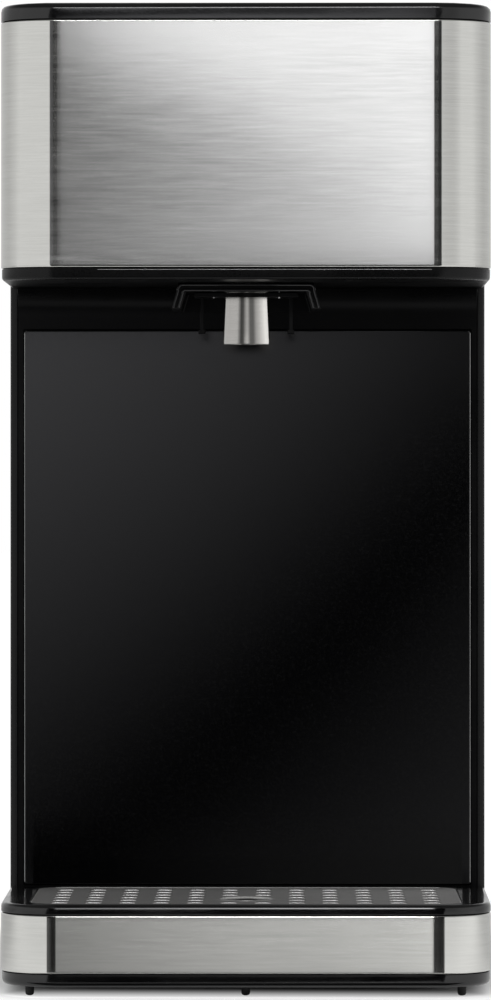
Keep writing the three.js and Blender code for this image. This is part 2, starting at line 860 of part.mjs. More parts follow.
function flowMeterWheel() {
  const bottom = meterWall + seatGap;
  const top = bottom + wheelHeight;
  const hub = rod(wheelHub, at(0, 0, bottom), at(0, 0, top), smallSides);
  const blades = Array.from({ length: bladeCount / 2 }, (_, i) => {
    const blade = new THREE.BoxGeometry(2 * wheelRadius, bladeThickness, wheelHeight - 2 * seatGap);
    return solidOf(blade.rotateZ((i * 2 * Math.PI) / bladeCount).translate(0, 0, (bottom + top) / 2));
  });
  const bore = rod(wheelPin + seatGap, at(0, 0, bottom - overrun), at(0, 0, top + overrun), smallSides);
  return cut(join(hub, ...blades), bore);
}

// Dock: the box under the tank, its socket and seal

const dockTop = 38;
const deckThickness = 2.5;
const socketShare = 0.483;
const neckRadius = 11;
const neckBore = 8.5;
const neckLength = 10;
const socketBore = neckRadius + 2 * seatGap;
const socketRadius = 14.5;
const socketFlange = 17.5;
const socketFloor = 2;
const socketBottom = 15;
const sealSection = 1.4;
const sealDrop = 3;
const postRadius = 2.2;
const glandX = -27;
const glandZ = 22;
const glandBore = 4;
const glandRadius = 7;
const glandFlange = 9;
const glandLip = 1.6;
const glandLength = 14;
const dockFront = columnBack;
const socketY = THREE.MathUtils.lerp(dockFront, rear, socketShare);
const neckBottom = dockTop + seatGap - neckLength;
const valveLift = 2.4;
const stemBottom = neckBottom + 2 * seatGap + valveLift;

function tankDock() {
  const outline = (inset) => tankOutline(inset, dockFront);
  const box = cut(
    slab(outline, 0, bandBottom, dockTop, 0, trayRound),
    prism(outline(coverWall), bandBottom - overrun, dockTop - deckThickness),
  );
  const glandBoss = rod(
    glandFlange + wall,
    at(glandX, rear - 2 * coverWall, glandZ), at(glandX, rear - coverWall / 2, glandZ),
  );
  const places = [screwPlaces.base_screw_rear_left, screwPlaces.base_screw_rear_right];
  const bosses = screwBosses(places, dockTop - deckThickness / 2);
  const hoseWay = [at(0, dockFront - overrun, hoseLevel), at(0, dockFront + 2 * coverWall, hoseLevel)];
  const glandWay = (depth) => [at(glandX, rear - depth, glandZ), at(glandX, rear + overrun, glandZ)];
  return cut(
    join(box, glandBoss, ...bosses.map(({ boss }) => boss)),
    rod(socketRadius + seatGap, at(0, socketY, bandBottom), at(0, socketY, dockTop + overrun)),
    rod(hosePass, ...hoseWay, smallSides),
    rod(glandRadius + seatGap, ...glandWay(3 * coverWall)),
    rod(glandFlange + seatGap, ...glandWay(glandLip + seatGap)),
    ...bosses.map(({ bore }) => bore),
  );
}

// The tank's neck seals in this cup, whose post lifts the tank's valve.
function dockSocket() {
  const top = dockTop - seatGap;
  const flangeTop = dockTop - deckThickness - seatGap;
  const centre = (z) => at(0, socketY, z);
  const ahead = (distance) => at(0, socketY - distance, hoseLevel);
  const body = join(
    rod(socketRadius, centre(socketBottom), centre(top)),
    rod(socketFlange, centre(flangeTop - wall), centre(flangeTop)),
    rod(stubOuter, ahead(socketBore), ahead(socketRadius + stubLength), hoseSides),
  );
  const sealTop = dockTop - sealDrop;
  const sealSeat = neckRadius + seatGap + sealSection + seatGap;
  return join(
    cut(
      body,
      rod(socketBore, centre(socketBottom + socketFloor), centre(top + overrun)),
      rod(sealSeat, centre(sealTop - sealSection - 2 * seatGap), centre(sealTop)),
      rod(stubBore, ahead(0), ahead(socketRadius + 2 * stubLength), hoseSides),
    ),
    rod(postRadius, centre(socketBottom + socketFloor / 2), centre(stemBottom - seatGap), smallSides),
  );
}

function dockSeal() {
  const top = dockTop - sealDrop - seatGap;
  return tube(
    neckRadius + seatGap + sealSection, neckRadius + seatGap,
    at(0, socketY, top - sealSection), at(0, socketY, top),
  );
}

function cordGland() {
  const from = at(glandX, rear - glandLength, glandZ);
  const to = at(glandX, rear - seatGap / 2, glandZ);
  const body = join(
    rod(glandRadius, from, to),
    rod(glandFlange, at(glandX, rear - glandLip, glandZ), to),
  );
  const behind = at(glandX, rear - 2 * glandLength, glandZ);
  return cut(body, rod(glandBore, behind, at(glandX, rear + overrun, glandZ)));
}

// Water tank, its lid, valve, spring and filter

const tankGap = 1.3;
const tankWall = 2.5;
const tankFloor = 3;
const lidThickness = 3.5;
const lidPin = 1.1;
const lidPinRise = lidThickness / 2;
const lidPivotSetback = 3.2;
const earLength = 6.7;
const earPastPivot = 4;
const earReach = lidPivotSetback + earPastPivot;
const valveSeat = 5.5;
const tankFront = columnBack + tankGap;
const tankBottom = dockTop + seatGap;
const lidBottom = overallTop - lidThickness;
const tankTop = lidBottom - seatGap;
const tankInside = tankBottom + tankFloor;
const pivotY = tankFront + lidPivotSetback;
const pivotZ = lidBottom + lidPinRise;
const frontWallDrop = Math.hypot(lidPivotSetback, lidPinRise) - lidPinRise;
const lidHalf = halfBody - tankWall - seatGap;

function waterTank() {
  const outline = (inset) => tankOutline(inset, tankFront);
  const shell = cut(
    prism(outline(0), tankBottom, tankTop),
    prism(outline(tankWall), tankInside, tankTop + overrun),
    block(
      tankWall - halfBody, halfBody - tankWall, tankFront - overrun, tankFront + tankWall + overrun,
      tankTop - frontWallDrop - seatGap, tankTop + overrun,
    ),
  );
  const ears = [-1, 1].map((side) => {
    const edges = [side * halfBody, side * (halfBody - tankWall)];
    const [x0, x1] = [Math.min(...edges), Math.max(...edges)];
    return block(x0, x1, tankFront, tankFront + earLength, tankTop - overrun, overallTop);
  });
  const pinHole = rod(lidPin + seatGap, at(-rear, pivotY, pivotZ), at(rear, pivotY, pivotZ), smallSides);
  const neckTop = at(0, socketY, tankBottom + overrun);
  const neck = tube(neckRadius, neckBore, at(0, socketY, neckBottom), neckTop);
  const seat = rod(valveSeat, at(0, socketY, neckBottom), at(0, socketY, tankInside + overrun));
  const neckWay = rod(neckBore, at(0, socketY, neckBottom - overrun), at(0, socketY, tankBottom));
  return cut(join(shell, ...ears, neck), pinHole, seat, neckWay);
}

const scoopWidth = 34;
const scoopDepth = 2;
const lidLipDrop = 4;
const lidLipGap = 0.9;
const lidLipWall = 1.8;

// The lid turns on two pins at its front corners, and a lip locates it in the tank.
function tankLid() {
  const full = (inset) => tankOutline(inset, tankFront + earReach);
  const plate = join(
    slab(full, 0, lidBottom, overallTop, 0, trayRound / 2),
    block(-lidHalf, lidHalf, tankFront, tankFront + earReach + overrun, lidBottom, overallTop),
  );
  const lipFront = tankFront + earReach + tankWall;
  const lipOutline = (inset) => tankOutline(inset, lipFront - inset);
  const lipOuter = tankWall + lidLipGap;
  const lip = cut(
    prism(lipOutline(lipOuter), lidBottom - lidLipDrop, lidBottom + overrun),
    prism(lipOutline(lipOuter + lidLipWall), lidBottom - lidLipDrop - overrun, lidBottom),
    block(-halfBody, halfBody, tankFront, lipFront + lidLipWall, lidBottom - 2 * lidLipDrop, lidBottom),
  );
  const pins = rod(
    lidPin,
    at(seatGap - halfBody, pivotY, pivotZ),
    at(halfBody - seatGap, pivotY, pivotZ),
    smallSides,
  );
  const scoop = block(
    -scoopWidth / 2, scoopWidth / 2,
    rear - scoopDepth, rear + overrun,
    lidBottom - overrun, overallTop + overrun,
  );
  return cut(join(plate, lip, pins), scoop);
}

const valveRadius = 8;
const valvePlate = 2;
const stemRadius = 2.2;
const finThickness = 1.2;
const springRadius = 4.2;
const springWire = 0.55;
const springTurns = 5;
const springHeight = 10.5;
const filterRadius = 13;
const filterWall = 1.2;
const filterSlots = 8;
const finDrop = 3;
const valveBottom = tankInside + seatGap + valveLift;
const springBottom = valveBottom + valvePlate + seatGap;
const filterTop = springBottom + springHeight + seatGap + filterWall;

// The dock's post holds the valve off its seat in the tank's floor.
function tankValve() {
  const centre = (z) => at(0, socketY, z);
  const fin = valveSeat - 2 * seatGap;
  const half = finThickness / 2;
  const finBottom = tankBottom - finDrop;
  return join(
    rod(valveRadius, centre(valveBottom), centre(valveBottom + valvePlate)),
    rod(stemRadius, centre(stemBottom), centre(valveBottom + valvePlate + finDrop), smallSides),
    block(-fin, fin, socketY - half, socketY + half, finBottom, valveBottom + overrun),
    block(-half, half, socketY - fin, socketY + fin, finBottom, valveBottom + overrun),
  );
}

// A compression spring as one unbroken wire.
function valveSpring() {
  const stepsPerTurn = 8;
  const sides = 5;
  const low = springBottom + springWire;
  const rise = springHeight - 2 * springWire;
  const count = springTurns * stepsPerTurn;
  const rings = Array.from({ length: count + 1 }, (_, i) => {
    const angle = (i / stepsPerTurn) * 2 * Math.PI;
    const out = new THREE.Vector2(Math.cos(angle), Math.sin(angle));
    return Array.from({ length: sides }, (__, k) => {
      const turn = (k / sides) * 2 * Math.PI;
      const radius = springRadius + springWire * Math.cos(turn);
      const height = low + (rise * i) / count + springWire * Math.sin(turn);
      return [radius * out.x, socketY + radius * out.y, height];
    });
  });
  const index = [];
  for (let i = 0; i < count; i += 1) {
    for (let k = 0; k < sides; k += 1) {
      const [a, b] = [i * sides + k, i * sides + ((k + 1) % sides)];
      index.push(a, a + sides, b + sides, a, b + sides, b);
    }
  }
  const last = count * sides;
  for (let k = 1; k < sides - 1; k += 1) {
    index.push(0, k, k + 1, last, last + k + 1, last + k);
  }
  const geometry = new THREE.BufferGeometry();
  geometry.setAttribute("position", new THREE.Float32BufferAttribute(rings.flat(2), 3));
  geometry.setIndex(index);
  return solidOf(geometry);
}

function tankFilter() {
  const centre = (z) => at(0, socketY, z);
  const bottom = tankInside + seatGap;
  const cup = cut(
    rod(filterRadius, centre(bottom), centre(filterTop)),
    rod(filterRadius - filterWall, centre(bottom - overrun), centre(filterTop - filterWall)),
  );
  const middle = (bottom + filterTop) / 2;
  const slots = Array.from({ length: filterSlots / 2 }, (_, i) => {
    const slot = new THREE.BoxGeometry(3 * filterRadius, 2 * filterWall, (filterTop - bottom) / 2);
    slot.rotateZ(((2 * i + 1) * Math.PI) / filterSlots);
    return solidOf(slot.translate(0, socketY, middle));
  });
  const ventBottom = centre(filterTop - 2 * filterWall);
  const vent = rod(valveSeat / 2, ventBottom, centre(filterTop + overrun), smallSides);
  return cut(cup, ...slots, vent);
}

// Head: housing with its underside, steel cover, spout and steam separator

const spoutReach = 47;
const spoutY = front + spoutReach;
const lipInset = 0.3;
const lipRound = 1.2;
const shroudReach = 31;
const shroudDepth = 40;
const shroudTopWidth = 46.8;
const shroudBottomWidth = 51.2;
const shroudDrop = 8.9;
const shroudWall = 2.8;
const sleeveBottom = 222.1;
const sleeveRadiusBelow = 8.1;
const sleeveRadiusAbove = 7.5;
const sleeveFlange = 10.5;
const sleeveFlangeHeight = 1;
const nozzleRadius = 6.2;
const nozzleBore = 4.4;
const nozzleSink = 2;
const headScrewSpread = 75;
const headScrewReach = 15;
const postRadiusHead = 3.5;
const sleeveFlangeBottom = lipTop + seatGap;
const sleeveHole = sleeveRadiusAbove + seatGap;
const headScrewPlaces = [-1, 1].map((side) => [(side * headScrewSpread) / 2, front + headScrewReach]);
const headScrewSeat = headBottom + headRecess + screwHeadHeight;

function headHousing() {
  const back = columnFace - seatGap;
  const floor = slab((inset) => frontOutline(inset, back), lipInset, headBottom, lipTop, lipRound, 0);
  const skin = sheet + seatGap;
  const walls = cut(
    prism(frontOutline(skin, back), lipTop - overrun, headBandTop),
    prism(frontOutline(skin + wall, back + overrun), lipTop - 2 * overrun, headBandTop + overrun),
  );
  const screwHoles = headScrewPlaces.flatMap(([x, y]) => [
    rod(screwBore, at(x, y, headBottom - overrun), at(x, y, lipTop + overrun), smallSides),
    rod(screwSink, at(x, y, headBottom - overrun), at(x, y, headScrewSeat), smallSides),
  ]);
  return cut(
    join(floor, walls),
    rod(sleeveHole, at(0, spoutY, headBottom - overrun), at(0, spoutY, lipTop + overrun)),
    ...screwHoles,
  );
}

// A hood open at the front and below, wider at its foot, seen from the front as an upside-down U.
function spoutShroud() {
  const top = headBottom - seatGap;
  const bottom = top - shroudDrop;
  const trapezoid = (inset, low, high) => new THREE.Shape([
    new THREE.Vector2(inset - shroudBottomWidth / 2, low),
    new THREE.Vector2(shroudBottomWidth / 2 - inset, low),
    new THREE.Vector2(shroudTopWidth / 2 - inset, high),
    new THREE.Vector2(inset - shroudTopWidth / 2, high),
  ]);
  const hood = (shape, y0, y1) => {
    const geometry = new THREE.ExtrudeGeometry(shape, { depth: y1 - y0, bevelEnabled: false });
    return solidOf(geometry.rotateX(Math.PI / 2).translate(0, y1, 0));
  };
  const y0 = front + shroudReach;
  const y1 = y0 + shroudDepth;
  const outer = hood(trapezoid(0, bottom, top), y0, y1);
  const inside = trapezoid(shroudWall, bottom - overrun, top - shroudWall);
  const inner = hood(inside, y0 - overrun, y1 - shroudWall);
  const hole = rod(sleeveHole, at(0, spoutY, bottom), at(0, spoutY, top + overrun));
  return cut(outer, inner, hole);
}

const carrierHalfX = 18;
const carrierHalfY = 11;
const carrierThickness = 1.5;
const armSpread = 30.8;
const armThickness = 1.2;
const armDepth = 7;
const armBottom = 225.8;
const armFoot = 2.4;
const armFootHeight = 1.5;
const carrierTop = headBottom - seatGap - shroudWall - seatGap;

// A plate under the hood with two sprung arms that clip the spout in place.
function spoutCarrier() {
  const plateBottom = carrierTop - carrierThickness;
  const plate = block(
    -carrierHalfX, carrierHalfX,
    spoutY - carrierHalfY, spoutY + carrierHalfY,
    plateBottom, carrierTop,
  );
  const arms = [-1, 1].flatMap((side) => {
    const x = (side * armSpread) / 2;
    const [y0, y1] = [spoutY - armDepth / 2, spoutY + armDepth / 2];
    return [
      block(x - armThickness / 2, x + armThickness / 2, y0, y1, armBottom, plateBottom + overrun / 2),
      block(x - armFoot / 2, x + armFoot / 2, y0, y1, armBottom, armBottom + armFootHeight),
    ];
  });
  const hole = rod(
    sleeveRadiusBelow + seatGap,
    at(0, spoutY, plateBottom - overrun), at(0, spoutY, carrierTop + overrun),
  );
  return cut(join(plate, ...arms), hole);
}

// A tapered steel sleeve that drops in from above and hangs by its flange.
function spoutSleeve() {
  const flangeTop = sleeveFlangeBottom + sleeveFlangeHeight;
  return turned([
    [sleeveRadiusBelow - sheet, sleeveBottom],
    [sleeveRadiusBelow, sleeveBottom],
    [sleeveRadiusAbove, carrierTop - carrierThickness],
    [sleeveRadiusAbove, sleeveFlangeBottom],
    [sleeveFlange, sleeveFlangeBottom],
    [sleeveFlange, flangeTop],
    [sleeveRadiusAbove - sheet, flangeTop],
    [sleeveRadiusAbove - sheet, carrierTop - carrierThickness],
    [sleeveRadiusBelow - sheet, sleeveBottom],
  ]);
}

const separatorWidth = 34;
const separatorDepth = 36;
const separatorHeight = 34;
const separatorRadius = 6;
const separatorLift = 15;
const separatorWall = 2;
const separatorInletRise = 25;
const legSize = 5;
const separatorBottom = lipTop + separatorLift;
const separatorBack = spoutY + separatorDepth / 2;
const nozzleTop = separatorBottom - seatGap;
const outletRadius = nozzleBore - 2 * seatGap;

function spoutNozzle() {
  const nozzleEnd = at(0, spoutY, sleeveBottom + nozzleSink);
  return tube(nozzleRadius, nozzleBore, nozzleEnd, at(0, spoutY, nozzleTop));
}

// The chamber over the spout, where steam parts from the water.
function steamSeparator() {
  const outline = (inset) => roundedRectangle(
    inset - separatorWidth / 2, separatorWidth / 2 - inset,
    spoutY - separatorDepth / 2 + inset, separatorBack - inset,
    separatorRadius - inset,
  );
  const top = separatorBottom + separatorHeight;
  const inletLevel = separatorBottom + separatorInletRise;
  const inletStart = at(0, separatorBack - separatorWall / 2, inletLevel);
  const inletEnd = separatorBack + stubLength;
  const legs = [-1, 1].flatMap((sideX) => [-1, 1].map((sideY) => {
    const x = sideX * (separatorWidth / 2 - separatorRadius);
    const y = spoutY + sideY * (separatorDepth / 2 - separatorRadius);
    return block(
      x - legSize / 2, x + legSize / 2, y - legSize / 2, y + legSize / 2,
      lipTop + seatGap, separatorBottom + separatorWall / 2,
    );
  }));
  const chamber = cut(
    prism(outline(0), separatorBottom, top),
    prism(outline(separatorWall), separatorBottom + separatorWall, top - separatorWall),
  );
  const above = (height) => at(0, spoutY, separatorBottom + height);
  return cut(
    join(
      chamber,
      rod(outletRadius, above(-stubLength), above(separatorWall / 2), smallSides),
      rod(stubOuter, inletStart, at(0, inletEnd, inletLevel), hoseSides),
      ...legs,
    ),
    rod(outletRadius - sheet, above(-2 * stubLength), above(2 * separatorWall), smallSides),
    rod(stubBore, at(0, spoutY, inletLevel), at(0, inletEnd + overrun, inletLevel), hoseSides),
  );
}

// Top: cover, control panel, display window, buttons and control board

const topDeck = 3.2;
const topRound = 2;
const panelHalfX = 65;
const panelFrontReach = 11;
const panelDepth = 62;
const controlThickness = 1.6;
const controlRadius = 6;
const buttonRadius = 6.5;
const buttonFlange = 8;
const buttonFlangeHeight = 1.5;
const buttonProud = 1.2;
const buttonTravel = 1;
const buttonPitch = 34;
const dishShare = 0.8;
const buttonReach = 30;
const stemLength = 2.6;
const windowHalfX = 32;
const windowDepth = 15;
const windowReach = 48;
const boardHalfX = 58;
const controlBoardFront = 21;
const controlBoardDepth = 44;
const switchHeight = 4;
const switchHalf = 3;
const postRadiusBoard = 3;
const postInset = 5;
const deckBottom = overallTop - topDeck;
const pocketFloor = overallTop - controlThickness - seatGap;
const flangeTopLevel = deckBottom - seatGap;
const stemTip = flangeTopLevel - buttonFlangeHeight - stemLength;
const boardTop = stemTip - buttonTravel - seatGap - switchHeight;
const buttonY = front + buttonReach;
const buttonNames = ["temperature_button", "start_button", "amount_button"];
const middleButton = (buttonNames.length - 1) / 2;
const buttonPlaces = buttonNames.map((name, i) => [name, (i - middleButton) * buttonPitch]);
const windowY = front + windowReach;
const boardY = front + controlBoardFront;

const controlOutline = (grow) => roundedRectangle(
  -panelHalfX - grow, panelHalfX + grow,
  front + panelFrontReach - grow, front + panelFrontReach + panelDepth + grow,
  controlRadius + grow,
);

const buttonHoles = () => buttonPlaces.map(([, x]) =>
  rod(buttonRadius + seatGap, at(x, buttonY, deckBottom - overrun), at(x, buttonY, overallTop + overrun)));

function topCover() {
  const outline = (inset) => headOutline(inset, bayWallBack);
  const shell = cut(
    slab(outline, 0, topRimBottom, overallTop, 0, topRound),
    prism(outline(coverWall), topRimBottom - overrun, deckBottom),
    prism(controlOutline(seatGap), pocketFloor, overallTop + overrun),
  );
  const rows = [boardY + postInset, boardY + controlBoardDepth - postInset];
  const boardPosts = [-1, 1].flatMap((side) => rows.map((y) => {
    const x = side * (boardHalfX - postInset);
    const postEnd = at(x, y, deckBottom + overrun / 2);
    return rod(postRadiusBoard, at(x, y, boardTop + seatGap), postEnd, smallSides);
  }));
  const screwPosts = headScrewPlaces.map(([x, y]) =>
    rod(postRadiusHead, at(x, y, lipTop + seatGap), at(x, y, deckBottom + overrun / 2), smallSides));
  const screwBores = headScrewPlaces.map(([x, y]) =>
    rod(screwBore, at(x, y, headBottom), at(x, y, headScrewSeat + headScrewLength + seatGap), smallSides));
  return cut(join(shell, ...boardPosts, ...screwPosts), ...buttonHoles(), ...screwBores);
}

function controlPanel() {
  const plate = prism(controlOutline(0), pocketFloor + seatGap, overallTop);
  const window = prism(windowOutline(seatGap), pocketFloor, overallTop + overrun);
  return cut(plate, window, ...buttonHoles());
}

const windowOutline = (grow) => roundedRectangle(
  -windowHalfX - grow, windowHalfX + grow,
  windowY - grow, windowY + windowDepth + grow,
  coverEdge + grow, 2,
);

const displayWindow = () => prism(windowOutline(0), pocketFloor + seatGap, overallTop);

// A push button in its own frame, its flange's top at z = 0.
function pushButton() {
  const top = overallTop + buttonProud - flangeTopLevel;
  const dish = buttonProud / 3;
  return turned([
    [0, -buttonFlangeHeight - stemLength],
    [stemRadius, -buttonFlangeHeight - stemLength],
    [stemRadius, -buttonFlangeHeight],
    [buttonFlange, -buttonFlangeHeight],
    [buttonFlange, 0],
    [buttonRadius, 0],
    [buttonRadius, top - dish],
    [buttonRadius - dish, top],
    [buttonRadius * dishShare, top],
    [0, top - dish],
  ]);
}

function controlBoard() {
  const plate = block(
    -boardHalfX, boardHalfX,
    boardY, boardY + controlBoardDepth,
    boardTop - boardThickness, boardTop,
  );
  const switches = buttonPlaces.map(([, x]) => block(
    x - switchHalf, x + switchHalf, buttonY - switchHalf, buttonY + switchHalf,
    boardTop - overrun, boardTop + switchHeight,
  ));
  const display = block(
    -windowHalfX, windowHalfX, windowY, windowY + windowDepth,
    boardTop - overrun, deckBottom - seatGap,
  );
  return join(plate, ...switches, display);
}

// Power board and the heat sink of its power switch

const boardX = -halfBody + coverWall + boardStandOff;
const relayHalf = 9;
const relayHeight = 15;
const capacitorRadius = 6;
const capacitorHeight = 18;
const terminalDepth = 10;
const sinkWidth = 30;
const sinkLift = 6;
const sinkHeadroom = 3.5;
const sinkDepth = 16;
const finCount = 5;
const relayShare = 0.78;
const capacitorShare = 0.55;
const capacitorZ = boardBottom + boardHeight * capacitorShare;

function powerBoard() {
  const face = boardX + boardThickness;
  const top = boardBottom + boardHeight;
  const middle = boardFront + boardWidth / 2;
  const plate = block(boardX, face, boardFront, boardFront + boardWidth, boardBottom, top);
  const relayZ = boardBottom + boardHeight * relayShare;
  const relay = block(
    face - sheet, face + relayHeight,
    middle - relayHalf, middle + relayHalf,
    relayZ - relayHalf, relayZ + relayHalf,
  );
  const capacitors = [-1, 1].map((side) => {
    const y = middle + side * 2 * capacitorRadius;
    const end = at(face + capacitorHeight, y, capacitorZ);
    return rod(capacitorRadius, at(face - sheet, y, capacitorZ), end, smallSides);
  });
  const terminals = block(
    face - sheet, face + terminalDepth,
    middle - 2 * relayHalf, middle + 2 * relayHalf,
    boardBottom + seatGap, boardBottom + terminalDepth,
  );
  return join(plate, relay, ...capacitors, terminals);
}

function triacHeatsink() {
  const back = boardX + boardThickness + seatGap;
  const middle = boardFront + boardWidth / 2;
  const low = boardBottom + terminalDepth + sinkLift;
  const high = capacitorZ - capacitorRadius - sinkHeadroom;
  const plate = block(back, back + wall, middle - sinkWidth / 2, middle + sinkWidth / 2, low, high);
  const pitch = (sinkWidth - finThickness) / (finCount - 1);
  const fins = Array.from({ length: finCount }, (_, i) => {
    const y = middle - sinkWidth / 2 + i * pitch;
    return block(back + wall / 2, back + sinkDepth, y, y + finThickness, low, high);
  });
  return join(plate, ...fins);
}

// Hoses, each pushed over the stubs at its two ends

const pushOn = stubLength - 2 * seatGap;
const hoseBend = 12;

// A hose from one stub to another; each end is the stub's tip and the way it points.
function stubHose(name, [start, startWay], [end, endWay], stops, steps) {
  const route = [
    start.clone().addScaledVector(startWay, -pushOn),
    start.clone(),
    start.clone().addScaledVector(startWay, hoseBend / 2),
    ...stops,
    end.clone().addScaledVector(endWay, hoseBend / 2),
    end.clone(),
    end.clone().addScaledVector(endWay, -pushOn),
  ];
  return piece(name, hose(hoseOuter, hoseBore, route, steps), siliconeLook);
}

const pumpPlace = at(pumpX, pumpFront, pumpAxis);
const meterPlace = at(0, meterY, meterLift);
const [forward, backward, sideways] = [at(0, -1, 0), at(0, 1, 0), at(1, 0, 0)];
const [up, down] = [at(0, 0, 1), at(0, 0, -1)];

const socketTip = at(0, socketY - socketRadius - stubLength, hoseLevel);
const meterInTip = at(0, meterY + meterRadius + stubLength, hoseLevel);
const meterOutTip = at(meterRadius + stubLength, meterY, hoseLevel);
const pumpInTip = pumpPlace.clone().add(pumpInlet).addScaledVector(backward, stubLength);
const pumpOutTip = pumpPlace.clone().add(pumpOutlet).addScaledVector(up, stubLength);
const heaterInTip = heaterInlet.clone().addScaledVector(down, stubLength);
const heaterOutTip = heaterOutlet.clone().addScaledVector(up, stubLength);
const separatorTip = at(0, separatorBack + stubLength, separatorBottom + separatorInletRise);

// Where each hose passes on its way, as shares of the way between its ends in x, y and z
const pumpHoseShares = [[0.78, 0.3, 0.5]];
const heaterHoseShares = [[0.5, 0.5, 0.5]];
const outletHoseShares = [[0.02, 0.08, 0.72], [0.1, 0.26, 0.97], [0.6, 0.7, 1]];
const pumpHoseSteps = 14;
const heaterHoseSteps = 16;
const outletHoseSteps = 26;

const stopsBetween = (a, b, shares) => shares.map(([x, y, z]) => at(
  THREE.MathUtils.lerp(a.x, b.x, x),
  THREE.MathUtils.lerp(a.y, b.y, y),
  THREE.MathUtils.lerp(a.z, b.z, z),
));

function hoses() {
  const straight = hose(
    hoseOuter, hoseBore,
    [
      socketTip.clone().addScaledVector(forward, -pushOn),
      meterInTip.clone().addScaledVector(backward, -pushOn),
    ],
    2,
  );
  const riserTop = heaterOutTip.clone().addScaledVector(up, hoseBend);
  const runStart = separatorTip.clone().addScaledVector(backward, hoseBend);
  return [
    piece("inlet_hose", straight, siliconeLook),
    stubHose(
      "pump_hose", [meterOutTip, sideways], [pumpInTip, backward],
      stopsBetween(meterOutTip, pumpInTip, pumpHoseShares), pumpHoseSteps,
    ),
    stubHose(
      "heater_hose", [pumpOutTip, up], [heaterInTip, down],
      stopsBetween(pumpOutTip, heaterInTip, heaterHoseShares), heaterHoseSteps,
    ),
    stubHose(
      "outlet_hose", [heaterOutTip, up], [separatorTip, backward],
      stopsBetween(riserTop, runStart, outletHoseShares), outletHoseSteps,
    ),
  ];
}

// The assembly

const product = new THREE.Group();

const base = new THREE.Group();
base.add(
  piece("base_pan", basePan(), blackLook),
  piece("base_housing", baseHousing(), blackLook),
  piece("base_band", wrap(bandBottom, bandTop), steelLook),
);
for (const [name, [x, y]] of Object.entries(footPlaces)) {
  const mesh = piece(name, foot(), rubberLook);
  mesh.position.set(x, y, footSeat);
  base.add(mesh);
}
for (const [name, [x, y]] of Object.entries(screwPlaces)) {
  const mesh = piece(name, screw(screwLength), steelLook);
  mesh.position.set(x, y, screwSeat - seatGap / 2);
  base.add(mesh);
}

const tray = new THREE.Group();
tray.add(
  piece("drip_tray", dripTray(), blackLook),
  piece("drip_grille", dripGrille(), steelLook),
);

const column = new THREE.Group();
column.add(
  piece("front_frame", frontFrame(), blackLook),
  piece("front_panel", frontPanel(), glossLook),
  piece("left_side_cover", leftSideCover(), blackLook),
  piece("right_side_cover", rightSideCover(), blackLook),
  piece("tank_bay_wall", tankBayWall(), blackLook),
);

const head = new THREE.Group();
head.add(
  piece("head_housing", headHousing(), blackLook),
  piece("head_cover", wrap(headBandBottom, headBandTop), steelLook),
  piece("spout_shroud", spoutShroud(), blackLook),
  piece("spout_carrier", spoutCarrier(), blackLook),
  piece("spout_sleeve", spoutSleeve().translate(0, spoutY, 0), steelLook),
  piece("spout_nozzle", spoutNozzle(), rubberLook),
  piece("steam_separator", steamSeparator(), whiteLook),
);
["head_screw_left", "head_screw_right"].forEach((name, i) => {
  const mesh = piece(name, screw(headScrewLength), steelLook);
  mesh.position.set(...headScrewPlaces[i], headScrewSeat - seatGap / 2);
  head.add(mesh);
});

const top = new THREE.Group();
top.add(
  piece("top_cover", topCover(), blackLook),
  piece("control_panel", controlPanel(), glossLook),
  piece("display_window", displayWindow(), displayLook),
  piece("control_board", controlBoard(), boardLook),
);
for (const [name, x] of buttonPlaces) {
  const mesh = piece(name, pushButton(), steelLook);
  mesh.position.set(x, buttonY, flangeTopLevel);
  top.add(mesh);
}

const dock = new THREE.Group();
dock.add(
  piece("tank_dock", tankDock(), blackLook),
  piece("dock_socket", dockSocket(), blackLook),
  piece("dock_seal", dockSeal(), rubberLook),
  piece("cord_gland", cordGland(), rubberLook),
);

const tank = new THREE.Group();
tank.add(
  piece("water_tank", waterTank(), smokeLook),
  piece("tank_lid", tankLid(), blackLook),
  piece("tank_valve", tankValve(), whiteLook),
  piece("valve_spring", valveSpring(), steelLook),
  piece("tank_filter", tankFilter(), whiteLook),
);

const pump = new THREE.Group();
pump.position.copy(pumpPlace);
pump.add(
  piece("pump_motor", pumpMotor(), aluminiumLook),
  piece("pump_head", pumpHead(), whiteLook),
  piece("pump_shaft", pumpShaft(), steelLook),
  piece("pump_cradle", pumpCradle(), rubberLook),
);

const meter = new THREE.Group();
meter.position.copy(meterPlace);
meter.add(
  piece("flow_meter_body", flowMeterBody(), whiteLook),
  piece("flow_meter_cap", flowMeterCap(), blackLook),
  piece("flow_meter_wheel", flowMeterWheel(), whiteLook),
);

const heater = new THREE.Group();
heater.add(piece("heater_block", heaterBlock(), aluminiumLook));
for (const [name, solid, share, look] of [
  ["temperature_sensor", temperatureSensor(), sensorHeightShare, steelLook],
  ["thermal_cutout", thermalCutout(), cutoutHeightShare, blackLook],
]) {
  const mesh = piece(name, solid, look);
  mesh.rotation.x = Math.PI / 2;
  mesh.position.set(heaterX, heaterFront - seatGap, heaterBottom + heaterHeight * share);
  heater.add(mesh);
}

const power = new THREE.Group();
power.add(
  piece("power_board", powerBoard(), boardLook),
  piece("triac_heatsink", triacHeatsink(), aluminiumLook),
);

product.add(base, tray, column, head, top, dock, tank, pump, meter, heater, power, ...hoses());

export default product;
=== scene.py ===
"""Looks of the instant hot water dispenser: its finishes, its finer meshes and the studio around it."""

import math

